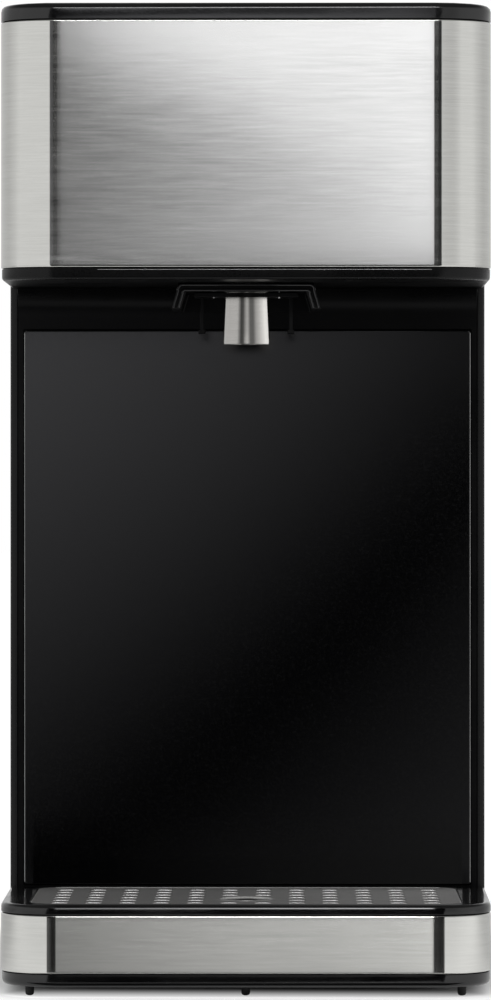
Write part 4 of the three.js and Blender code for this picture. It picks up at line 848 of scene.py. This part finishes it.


# Drip plate: rounded slots, and a finger hole with a raised collar, with a painted highlight in paler
# steel on the rear bead and the hole's far wall

PLATE_CORNER = 10 * MM
PLATE_CORNER_STEPS = 10
PLATE_EDGE = 0.3 * MM
PLATE_THICK = 1.0 * MM
BEAD_RISE = 0.28 * MM
BEAD_WIDTH = 1.1 * MM
BEAD_FOOT = 0.02 * MM
SLOT_EDGE = 0.38 * MM
SLOT_PITCH = (11.6 * MM, 12.6 * MM)
SLOT_HALF = (2.7 * MM, 3.2 * MM)
SLOT_CORNER = 1.2 * MM
SLOT_CORNER_STEPS = 3
SLOT_COLUMNS = 12
SLOT_ROWS = 6
FIRST_ROW = 18.5 * MM
FINGER_RADIUS = 9 * MM
COLLAR = 1.2 * MM
COLLAR_EDGE = 0.12 * MM
COLLAR_RISE = 0.15 * MM
LIT_WALL = 0.62 * MM
REAR_RIM = 1.5 * MM
REAR_RIM_FOOT = 0.03 * MM
CIRCLE_STEPS = 72
EDGE_STEPS = 3


def rounded_rectangle(centre, half, radius, steps):
    """Points of a rounded rectangle, anticlockwise."""
    x, y = half[0] - radius, half[1] - radius
    corners = [((x, -y), 270), ((x, y), 0), ((-x, y), 90), ((-x, -y), 180)]
    return [
        (centre[0] + px, centre[1] + py)
        for corner, start in corners for px, py in arc(corner, radius, start, start + 90, steps)
    ]


def eased(radius, start, end):
    """A quarter round from the flat to the wall, as (offset from the wall, depth under the flat)."""
    turns = [math.radians(start + (end - start) * i / EDGE_STEPS) for i in range(EDGE_STEPS + 1)]
    return [(radius - radius * math.sin(t), radius - radius * math.cos(t)) for t in turns]


def punched_slot(bm, centre, top, bottom):
    """The wall of a slot, with both edges rounded. Returns its end rings."""
    upper = [(offset, top - depth) for offset, depth in eased(SLOT_EDGE, 0, 90)]
    lower = [(offset, bottom + depth) for offset, depth in eased(SLOT_EDGE, 90, 0)]
    rings = []
    for grow, z in upper + lower:
        half = (SLOT_HALF[0] + grow, SLOT_HALF[1] + grow)
        outline = rounded_rectangle(centre, half, SLOT_CORNER + grow, SLOT_CORNER_STEPS)
        rings.append([(x, y, z) for x, y in outline])
    rows = loft(bm, rings, True, False)
    return rows[0], rows[-1]


def ring_edges(bm, rings):
    """The edges between neighbouring vertices of each closed ring."""
    return [bm.edges.get((a, b)) for ring in rings for a, b in zip(ring, ring[1:] + ring[:1])]


def drip_plate():
    low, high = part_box("drip_grille")
    top, bottom = low.z + PLATE_THICK, low.z
    middle = middle_of(low, high)
    half = ((high.x - low.x) / 2, (high.y - low.y) / 2)
    finger = (middle[0], cad_box[0].y + FIRST_ROW + 1.5 * SLOT_PITCH[1])
    reach = FINGER_RADIUS + COLLAR
    bm = bmesh.new()
    ends = [beaded_rim(bm, middle, half, top, bottom)]
    for row in range(SLOT_ROWS):
        for column in range(SLOT_COLUMNS):
            x = middle[0] + (column - (SLOT_COLUMNS - 1) / 2) * SLOT_PITCH[0]
            y = cad_box[0].y + FIRST_ROW + row * SLOT_PITCH[1]
            if abs(y - finger[1]) > reach or abs(x - finger[0]) > reach + SLOT_HALF[0]:
                ends.append(punched_slot(bm, (x, y), top, bottom))
    ends.append(collar(bm, finger, top, bottom, top + COLLAR_RISE))
    for level in (0, 1):
        rim = ring_edges(bm, [pair[level] for pair in ends])
        bmesh.ops.triangle_fill(bm, use_beauty=True, use_dissolve=False, edges=rim)
    for face in bm.faces:
        # Paler steel on the lit faces: a painted highlight.
        face.material_index = int(painted_highlight_faces(face.calc_center_median(), middle, half, top, finger))
    finish_mesh("drip_plate", bm, "grille", [PLATE_STEEL, LIT_STEEL], ["drip_grille"])


def painted_highlight_faces(place, middle, half, top, finger):
    """True on the faces that take the painted highlight: the rear of the plate's rim bead and the upper
    part of the finger hole's far wall.
    """
    at_rear = place.y > middle[1] + half[1] - REAR_RIM and place.z > top + REAR_RIM_FOOT
    from_hole = math.hypot(place.x - finger[0], place.y - finger[1])
    far_wall = (
        place.y > finger[1] and from_hole < FINGER_RADIUS + COLLAR_EDGE
        and place.z > top + COLLAR_RISE - LIT_WALL
    )
    return at_rear or far_wall


def beaded_rim(bm, middle, half, top, bottom):
    """The plate's rim: a low pressed bead that slopes to the flat, and a rounded lower edge."""
    falling, rising = eased(PLATE_EDGE, 0, 90), eased(PLATE_EDGE, 90, 0)
    crest = top + BEAD_RISE
    profile = [(BEAD_WIDTH + PLATE_EDGE, top), (BEAD_WIDTH, top + BEAD_FOOT)]
    profile += [(offset, crest - depth) for offset, depth in falling]
    profile += [(offset, bottom + depth) for offset, depth in rising]
    rings = []
    for inset, z in profile:
        inner = (half[0] - inset, half[1] - inset)
        outline = rounded_rectangle(middle, inner, PLATE_CORNER - inset, PLATE_CORNER_STEPS)
        rings.append([(x, y, z) for x, y in outline])
    rows = loft(bm, rings, True, False)
    return rows[0], rows[-1]


def collar(bm, centre, top, bottom, crest):
    """The raised rim of the finger hole, from the plate's flat over the crest and down the hole."""
    outside = FINGER_RADIUS + COLLAR
    falling, rising = eased(COLLAR_EDGE, 0, 90), eased(COLLAR_EDGE, 90, 0)
    profile = [(outside + COLLAR_EDGE, top)]
    profile += [(outside - offset, crest - depth) for offset, depth in rising]
    profile += [(FINGER_RADIUS + offset, crest - depth) for offset, depth in falling]
    profile.append((FINGER_RADIUS, crest - LIT_WALL))
    profile += [(FINGER_RADIUS + offset, bottom + depth) for offset, depth in rising]
    rings = []
    for radius, z in profile:
        turns = [2 * math.pi * i / CIRCLE_STEPS for i in range(CIRCLE_STEPS)]
        rings.append([
            (centre[0] + radius * math.cos(t), centre[1] + radius * math.sin(t), z) for t in turns
        ])
    rows = loft(bm, rings, True, False)
    return rows[0], rows[-1]


drip_plate()


# Studio: floor, backdrop light and the cards that the steel and the gloss reflect

def stage_mesh(name, corners, shader, faces=None):
    mesh = bpy.data.meshes.new(name)
    mesh.from_pydata(corners, [], faces or [tuple(range(len(corners)))])
    mesh.materials.append(shader)
    made = bpy.data.objects.new(name, mesh)
    bpy.context.scene.collection.objects.link(made)
    return made


def seen_directly(tree):
    """1 for rays from the camera and in reflections and glass, 0 for the light on the object."""
    path = tree.node("LightPath").outputs
    direct = tree.math("MAXIMUM", path["Is Camera Ray"], path["Is Glossy Ray"])
    return tree.math("MAXIMUM", direct, path["Is Transmission Ray"])


FLOOR_HALF = 12.0
FLOOR_GREYS = (0.50, 0.52)
FLOOR_GLOW = 0.62
# Painted shadow under and beside the object, in the floor's colour and in its glow
UNDER_SHADE_GREY = 0.12
UNDER_FADE = (0.015, 0.045)
UNDER_SHADOW_LEVELS = [
    (-0.004, 1.32), (0.005, 1.17), (0.013, 0.86), (0.021, 0.53), (0.029, 0.22), (0.036, 0.04),
    (0.042, 0.0),
]
UNDER_TILT = 0.006
UNDER_SIDES = (-0.06, 0.07)
CREASE_REACH = 0.05
CREASE_SAMPLES = 12
CREASE_POWER = (0.3, 1.0)
CREASE_DEPTH = 0.06
CONTACT_REACH = 0.030
CONTACT_SHADE = 0.66
CONTACT_DEPTH = 0.05
# Painted shade in reflections: the floor's glow as reflections see it, by depth and from left to right
MIRRORED_FLOOR = [
    (-0.40, 0.60), (-0.27, 0.90), (-0.20, 0.95), (-0.10, 0.75), (-0.02, 0.38), (0.1, 0.30),
]
MIRRORED_SIDES = (0.98, 1.22)
MIRRORED_HALF = 0.25


def footprint_depth(tree, x, y):
    """How far a point of the floor lies inside the object's rounded footprint, below 0 outside."""
    past = [
        tree.minus(tree.math("ABSOLUTE", value), max(abs(low), high) - CORNER_RADIUS)
        for value, low, high in zip((x, y), *cad_box)
    ]
    corner = tree.node("CombineXYZ", *[tree.math("MAXIMUM", each, 0.0) for each in past]).outputs[0]
    outside = tree.node("VectorMath", corner, operation="LENGTH").outputs["Value"]
    inside = tree.math("MINIMUM", tree.math("MAXIMUM", *past), 0.0)
    return tree.minus(CORNER_RADIUS, tree.plus(outside, inside))


def floor():
    """A pale floor with a painted shadow: its own glow, for seen rays alone, fades beside the object
    and under it, and its colour is painted darker under the object.
    """
    made, tree = material("studio_floor")
    x, y, _ = tree.axes()
    depth = footprint_depth(tree, x, y)
    pale = tree.tone(tree.noise(tree.place(), 40, 2.0), *FLOOR_GREYS)
    # Painted shade: the floor's colour darkens under the object's footprint.
    colour = tree.tone(depth, pale, UNDER_SHADE_GREY, *UNDER_FADE)
    surface = tree.node("BsdfDiffuse", Color=colour).outputs[0]

    # Painted shadow: the glow fades with the occlusion, with a contact shade beside and behind the
    # front, and along a ramp under the object.
    behind_front = tree.minus(y, cad_box[0].y)
    crease = tree.node("AmbientOcclusion", Distance=CREASE_REACH, samples=CREASE_SAMPLES)
    power = tree.span(behind_front, *CREASE_POWER, 0.0, CREASE_DEPTH)
    shade = tree.span(behind_front, 1.0, CONTACT_SHADE, 0.0, CONTACT_DEPTH)
    contact = tree.span(depth, 1.0, shade, -CONTACT_REACH, 0.0)
    beside = tree.times(tree.math("POWER", crease.outputs["AO"], power), contact)

    path = tree.node("LightPath").outputs
    deeper = tree.span(x, 0.0, UNDER_TILT, *UNDER_SIDES)
    under = tree.ramp(tree.plus(behind_front, deeper), UNDER_SHADOW_LEVELS)
    under = tree.times(under, tree.span(depth, 0.0, 1.0, -MM, 0.0), path["Is Camera Ray"])

    # Painted shade for reflections: the floor is darker to them close to and behind the object and
    # again far in front, and lighter to the right.
    sides = tree.span(x, *MIRRORED_SIDES, -MIRRORED_HALF, MIRRORED_HALF)
    mirrored = tree.times(tree.ramp(y, MIRRORED_FLOOR), sides)
    seen = tree.span(path["Is Glossy Ray"], 1.0, mirrored)
    lit = tree.times(tree.math("MAXIMUM", beside, under), seen)
    strength = tree.times(seen_directly(tree), FLOOR_GLOW, lit)
    glow = tree.node("Emission", Color=1.0, Strength=strength).outputs[0]
    tree.output(tree.node("AddShader", surface, glow).outputs[0])
    stage_mesh("studio_floor", lying(FLOOR_HALF, -FLOOR_HALF, FLOOR_HALF, 0), made)


# Cards, in metres: level ones as (half width, front, back, height), upright ones as
# (y, half width, low, high). Their light follows stops of (x, level)

FAR = 9.0


def card(name, corners, light, reach=FAR, faces=None, fade=None):
    """A card that only reflections see, on the side that faces the object and within a reach.

    It fades to clear between the two heights of fade.
    """
    made, tree = material(name)
    glow = tree.node("Emission", Color=light(tree)).outputs[0]
    behind = tree.node("NewGeometry").outputs["Backfacing"]
    far = tree.math("GREATER_THAN", tree.node("LightPath").outputs["Ray Length"], reach)
    clear = tree.node("BsdfTransparent").outputs[0]
    unseen = tree.math("MAXIMUM", behind, far)
    if fade:
        height = tree.axes()[2]
        unseen = tree.math("MAXIMUM", unseen, tree.span(height, 0.0, 1.0, *fade))
    tree.output(tree.node("MixShader", unseen, glow, clear).outputs[0])
    plane = stage_mesh(name, corners, made, faces)
    plane.visible_camera = False
    plane.visible_diffuse = False
    plane.visible_shadow = False
    plane.visible_transmission = False
    plane.visible_volume_scatter = False


def lying(half, front, back, height):
    """Corners of a level card, its face up."""
    return [(-half, front, height), (half, front, height), (half, back, height), (-half, back, height)]


def upright(y, half, low, high):
    """Corners of an upright card, its face to the back."""
    return [(half, y, low), (-half, y, low), (-half, y, high), (half, y, high)]


def lit_across(stops):
    """A light that changes from left to right."""
    return lambda tree: tree.grey(tree.ramp(tree.axes()[0], stops))


def near_black(tree):
    """The dark places that the lower rims and the spout mirror."""
    return tree.tone(tree.noise(tree.place(), 60, 2.0), 0.03, 0.05)


def within(tree, value, low, high, soft):
    """1 between two limits, with soft edges."""
    rise = tree.span(value, 0.0, 1.0, low - soft, low + soft)
    fall = tree.span(value, 1.0, 0.0, high - soft, high + soft)
    return tree.times(rise, fall)


# The large card in front, which the head and the panel mirror

FRONT_CARD = (-0.315, 0.1115, -0.002, 0.400)
FRONT_SOFT = 0.0012
FRONT_BLUE = 1.045
LIGHT_HALF = 0.0695
LIGHT_LEFT = (-0.0699, -0.0687)
LIGHT_RIGHT = (0.0682, 0.0697)
SIDE_LEVELS = [
    (-0.1115, 0.13), (-0.0945, 0.115), (-0.0895, 0.02), (-0.0725, 0.012), (0.0690, 0.010),
    (0.0765, 0.012), (0.1115, 0.034),
]
HEAD_LOW = 0.2555
HEAD_HIGH = 0.3495
HEAD_TILT = 0.38
HEAD_DIAGONAL = (0.2885, 0.3365)
HEAD_BRIGHT = [
    (-0.075, 0.80), (-0.064, 0.90), (-0.056, 1.16), (-0.0458, 1.32), (-0.0357, 1.38), (-0.0154, 1.44),
    (0.01, 1.42), (0.03, 1.36), (0.06, 1.38),
]
HEAD_DARK = (0.25, 1.17)
HEAD_DARK_SIDES = (-0.070, 0.066)
HEAD_DARK_POWER = 1.25
HEAD_TOP_GAIN = 1.55
HEAD_TOP_FADE = (0.333, 0.349)
HEAD_FOOT_GAIN = 1.6
HEAD_FOOT_FADE = (0.2555, 0.268)
HEAD_WASH = (0.87, 0.95)
HEAD_WASH_SIDES = (0.0, 0.06)
RIM_LEVEL = (0.14, 0.62)
STRIP_LOW = 0.375
STRIP_LEVEL = (2.2, 3.2)
PANEL_TOP = 0.2415
PANEL_HEIGHTS = (0.015, 0.235)
PANEL_HALF = 0.09
PANEL_DOWN = 0.62
PANEL_ACROSS = 0.33
PANEL_CURVE = 0.14
PANEL_LEFT = (1.0, 0.02, 0.0, 0.62)
PANEL_LEFT_POWER = 1.4
PANEL_RIGHT = (0.0, 0.20, 0.66, 1.03)


def head_light(tree, x, z):
    """A soft box seen in the head: dark at the lower left, bright at the upper right."""
    slope = tree.plus(z, tree.times(x, HEAD_TILT))
    smooth = tree.node("MapRange", slope, *HEAD_DIAGONAL, 0.0, 1.0, interpolation_type="SMOOTHSTEP")
    up = smooth.outputs[0]
    dark = tree.math("POWER", tree.span(x, 0.0, 1.0, *HEAD_DARK_SIDES), HEAD_DARK_POWER)
    dark = tree.span(dark, *HEAD_DARK)
    bright = tree.ramp(x, HEAD_BRIGHT)
    mixed = tree.plus(tree.times(dark, tree.minus(1.0, up)), tree.times(bright, up))
    wash = tree.span(x, *HEAD_WASH, *HEAD_WASH_SIDES)
    top = tree.span(z, 1.0, HEAD_TOP_GAIN, *HEAD_TOP_FADE)
    foot = tree.span(z, HEAD_FOOT_GAIN, 1.0, *HEAD_FOOT_FADE)
    return tree.times(mixed, wash, top, foot)


def panel_light(tree, x, z):
    """A diagonal fade over the panel: brightest at the upper left, a little at the lower right."""
    down = tree.span(z, 1.0, 0.0, *PANEL_HEIGHTS)
    across = tree.span(x, 0.0, 1.0, -PANEL_HALF, PANEL_HALF)
    curve = tree.math("POWER", across, 2.0)
    slant = tree.plus(
        tree.times(down, PANEL_DOWN), tree.times(across, PANEL_ACROSS), tree.times(curve, PANEL_CURVE)
    )
    left = tree.math("POWER", tree.span(slant, *PANEL_LEFT), PANEL_LEFT_POWER)
    return tree.plus(left, tree.span(slant, *PANEL_RIGHT))


def front_light(tree):
    x, _, z = tree.axes()
    inside = tree.times(tree.span(x, 0.0, 1.0, *LIGHT_LEFT), tree.span(x, 1.0, 0.0, *LIGHT_RIGHT))
    head = tree.times(head_light(tree, x, z), within(tree, z, HEAD_LOW, HEAD_HIGH, FRONT_SOFT))
    rim = tree.times(
        tree.span(x, *RIM_LEVEL, -LIGHT_HALF, LIGHT_HALF),
        within(tree, z, HEAD_HIGH, STRIP_LOW, FRONT_SOFT),
    )
    strip = tree.times(
        tree.span(x, *STRIP_LEVEL, -LIGHT_HALF, LIGHT_HALF), tree.math("GREATER_THAN", z, STRIP_LOW)
    )
    beside = tree.times(tree.minus(1.0, inside), tree.ramp(x, SIDE_LEVELS))
    below = tree.math("LESS_THAN", z, PANEL_TOP)
    value = tree.plus(
        tree.times(tree.plus(head, rim, strip), inside),
        tree.times(beside, tree.minus(1.0, below)),
        tree.times(panel_light(tree, x, z), below),
    )
    return tree.node("CombineColor", value, value, tree.times(value, FRONT_BLUE)).outputs[0]


# The low card in front, which only the base mirrors

BASE_CARD = (-0.17, 0.0753, 0.0003, 0.0435)
BASE_REACH = 0.0275
BASE_LIGHT = (-0.0659, 0.0640)
BASE_LEVELS = [(-0.066, 0.32), (0.0, 0.61), (0.025, 0.64), (0.052, 0.76), (0.0643, 0.86)]
BASE_SIDE_LEVELS = [
    (-0.0755, 0.15), (-0.073, 0.10), (-0.0705, 0.03), (-0.0685, 0.010), (-0.0665, 0.02),
    (0.0640, 0.022), (0.0735, 0.028), (0.0755, 0.25),
]
BASE_BAND = (0.0056, 0.0265)
BASE_STRIP = (0.0335, 0.043)
BASE_STRIP_LEVEL = (5.0, 12.0)
BASE_SOFT_SIDES = 0.0004
BASE_SOFT = 0.0003


def base_light(tree):
    x, _, z = tree.axes()
    inside = within(tree, x, *BASE_LIGHT, BASE_SOFT_SIDES)
    lit = tree.times(tree.ramp(x, BASE_LEVELS), inside)
    beside = tree.times(tree.minus(1.0, inside), tree.ramp(x, BASE_SIDE_LEVELS))
    band = tree.times(tree.plus(lit, beside), within(tree, z, *BASE_BAND, BASE_SOFT))
    strip = tree.times(
        tree.span(x, *BASE_STRIP_LEVEL, *BASE_LIGHT), within(tree, z, *BASE_STRIP, BASE_SOFT), inside
    )
    return tree.grey(tree.plus(band, strip))


# A tent round the spout, its light by the angle from straight ahead in degrees

SPOUT = (0.0, -0.103)
TENT_RADIUS = 11.5 * MM
TENT_LEVELS = (0.2185, 0.2405)
TENT_REACH = 0.02
TENT_STEPS = 40
TENT_HALF_TURN = 104
TENT_LIGHT = [
    (-104, 0.62), (-40, 0.66), (-30, 0.62), (-26, 0.38), (-18, 0.07), (-10, 0.10), (-4, 0.36),
    (3, 0.60), (8, 0.40), (13, 0.17), (24, 0.17), (35, 0.52), (48, 0.74), (62, 1.0), (76, 1.25),
    (104, 1.1),
]


def spout_tent():
    """Light in front of the spout and beside it, with two dark bands towards the front."""
    plan = arc(SPOUT, TENT_RADIUS, -90 - TENT_HALF_TURN, -90 + TENT_HALF_TURN, TENT_STEPS)
    low, high = [[(x, y, z) for x, y in plan] for z in TENT_LEVELS]
    count = len(plan)
    faces = [(i, i + count, i + 1 + count, i + 1) for i in range(TENT_STEPS)]
    card("spout_tent", low + high, tent_light, TENT_REACH, faces)


def tent_light(tree):
    x, y, _ = tree.axes()
    turn = tree.math("ARCTAN2", x, tree.minus(SPOUT[1], y))
    return tree.grey(tree.ramp(tree.times(turn, 180 / math.pi), TENT_LIGHT))


# Small cards that only one piece mirrors, and dark flags that keep light off a rim

FLAG_REACH = 0.012
FLOOR_CARD = (0.085, -0.164, -0.1502, 0.0003)
SPOUT_FLAG = (0.012, -0.125, -0.092, 0.2185)
LIP_FLAG = (-0.158, 0.068, 0.2385, 0.2478)
HOOD_CARD = (-0.128, 0.028, 0.222, 0.2330)
HOOD_LIGHT = [(-0.028, 1.2), (-0.011, 0.9), (-0.009, 0.1), (0.009, 0.1), (0.011, 1.3), (0.028, 2.4)]
HOOD_REACH = 0.022
PANEL_FOOT_CARD = (-0.0575, 0.076, 0.0318, 0.058)
PANEL_FOOT_LIGHT = [(-0.05, 0.0), (0.07, 0.16)]
PANEL_FOOT_REACH = 0.004
PANEL_FOOT_FADE = (0.040, 0.058)
PLATE_CARD = (-0.0585, 0.076, 0.0325, 0.068)
PLATE_LIGHT = [(-0.076, 0.05), (-0.012, 0.06), (0.010, 0.085), (0.034, 0.105), (0.076, 0.13)]
PLATE_REACH = 0.11


def small_cards():
    """Light for the hood's beads, the panel's foot and the drip plate, and the dark flags."""
    card("floor_card", lying(*FLOOR_CARD), near_black, FLAG_REACH)
    card("spout_flag", lying(*SPOUT_FLAG), near_black, FLAG_REACH)
    card("lip_flag", upright(*LIP_FLAG), near_black, FLAG_REACH)
    card("hood_card", upright(*HOOD_CARD), lit_across(HOOD_LIGHT), HOOD_REACH)
    card("panel_foot_card", upright(*PANEL_FOOT_CARD), lit_across(PANEL_FOOT_LIGHT),
         PANEL_FOOT_REACH, fade=PANEL_FOOT_FADE)
    to_front = upright(*PLATE_CARD)[::-1]
    card("plate_card", to_front, lit_across(PLATE_LIGHT), PLATE_REACH)


# The world by direction, as shares of one: 1 is straight to the front, to the right or up

WORLD_LEVELS = (0.68, 0.97)
WORLD_TURN = (-0.45, 0.15)
WORLD_PLAIN = 0.8
DIM_AIM = (0.52, 0.85)
DIM_DEPTH = 0.26
DIM_FADE = (0.90, 0.985)
CEILING_LEVEL = 0.2
CEILING_FADE = (0.30, 0.60)


def world():
    """Even light. Reflections see it a little darker behind the object and at the front right."""
    made = bpy.data.worlds.new("studio")
    bpy.context.scene.world = made
    made.use_nodes = True
    tree = Tree(made.node_tree)
    right, back, up = tree.node("SeparateXYZ", tree.node("TexCoord").outputs["Generated"]).outputs
    forward = tree.times(back, -1.0)
    toward = tree.plus(tree.times(right, DIM_AIM[0]), tree.times(forward, DIM_AIM[1]))
    dim = tree.span(toward, 0.0, DIM_DEPTH, *DIM_FADE)
    sides = tree.minus(tree.span(forward, *WORLD_LEVELS, *WORLD_TURN), dim)
    mirrored = tree.times(sides, tree.span(up, 1.0, CEILING_LEVEL, *CEILING_FADE))
    path = tree.node("LightPath").outputs
    glossy = path["Is Glossy Ray"]
    seen = tree.math("MAXIMUM", path["Is Camera Ray"], path["Is Transmission Ray"])
    plain = tree.times(tree.span(seen, WORLD_PLAIN, 1.0), tree.minus(1.0, glossy))
    strength = tree.plus(tree.times(mirrored, glossy), plain)
    backdrop = tree.node("Background", Color=1.0, Strength=strength).outputs[0]
    tree.output(backdrop, "OutputWorld")


def aimed(name, data, place, target):
    """Puts a lamp or a camera at a place and turns it to a target."""
    made = bpy.data.objects.new(name, data)
    bpy.context.scene.collection.objects.link(made)
    made.location = place
    made.rotation_mode = "QUATERNION"
    made.rotation_quaternion = (Vector(target) - Vector(place)).to_track_quat("-Z", "Y")
    return made


LAMP_PLACE = (0, -1.6, 1.0)
LAMP_TARGET = (0, -0.1, 0.2)
LAMP_SIZE = (0.6, 0.2)
LAMP_POWER = 4.6


def lamp():
    """A rectangular lamp above the front."""
    data = bpy.data.lights.new("front_strip", "AREA")
    data.shape = "RECTANGLE"
    data.size, data.size_y = LAMP_SIZE
    data.energy = LAMP_POWER
    aimed("front_strip", data, LAMP_PLACE, LAMP_TARGET).visible_camera = False


floor()
card("head_and_panel_card", upright(*FRONT_CARD), front_light)
card("base_card", upright(*BASE_CARD), base_light, BASE_REACH)
spout_tent()
small_cards()
world()
lamp()


# Camera: level, two metres in front of the object

SENSOR = 36.0
CAMERA_DISTANCE = 2.0
CAMERA_X = 0.014
CAMERA_HEIGHT = 0.1752
FRAME_HEIGHT = 0.3381
FRAME_CENTRE = 0.1685
CLIP = (0.05, 60)


def camera():
    front = cad_box[0].y
    data = bpy.data.cameras.new("camera")
    data.sensor_width = SENSOR
    data.lens = SENSOR * CAMERA_DISTANCE / FRAME_HEIGHT
    data.shift_y = (FRAME_CENTRE - CAMERA_HEIGHT) / FRAME_HEIGHT
    data.clip_start, data.clip_end = CLIP
    place = (CAMERA_X, front - CAMERA_DISTANCE, CAMERA_HEIGHT)
    bpy.context.scene.camera = aimed("camera", data, place, (0, front, CAMERA_HEIGHT))


camera()
bpy.context.scene.view_settings.view_transform = "Standard"
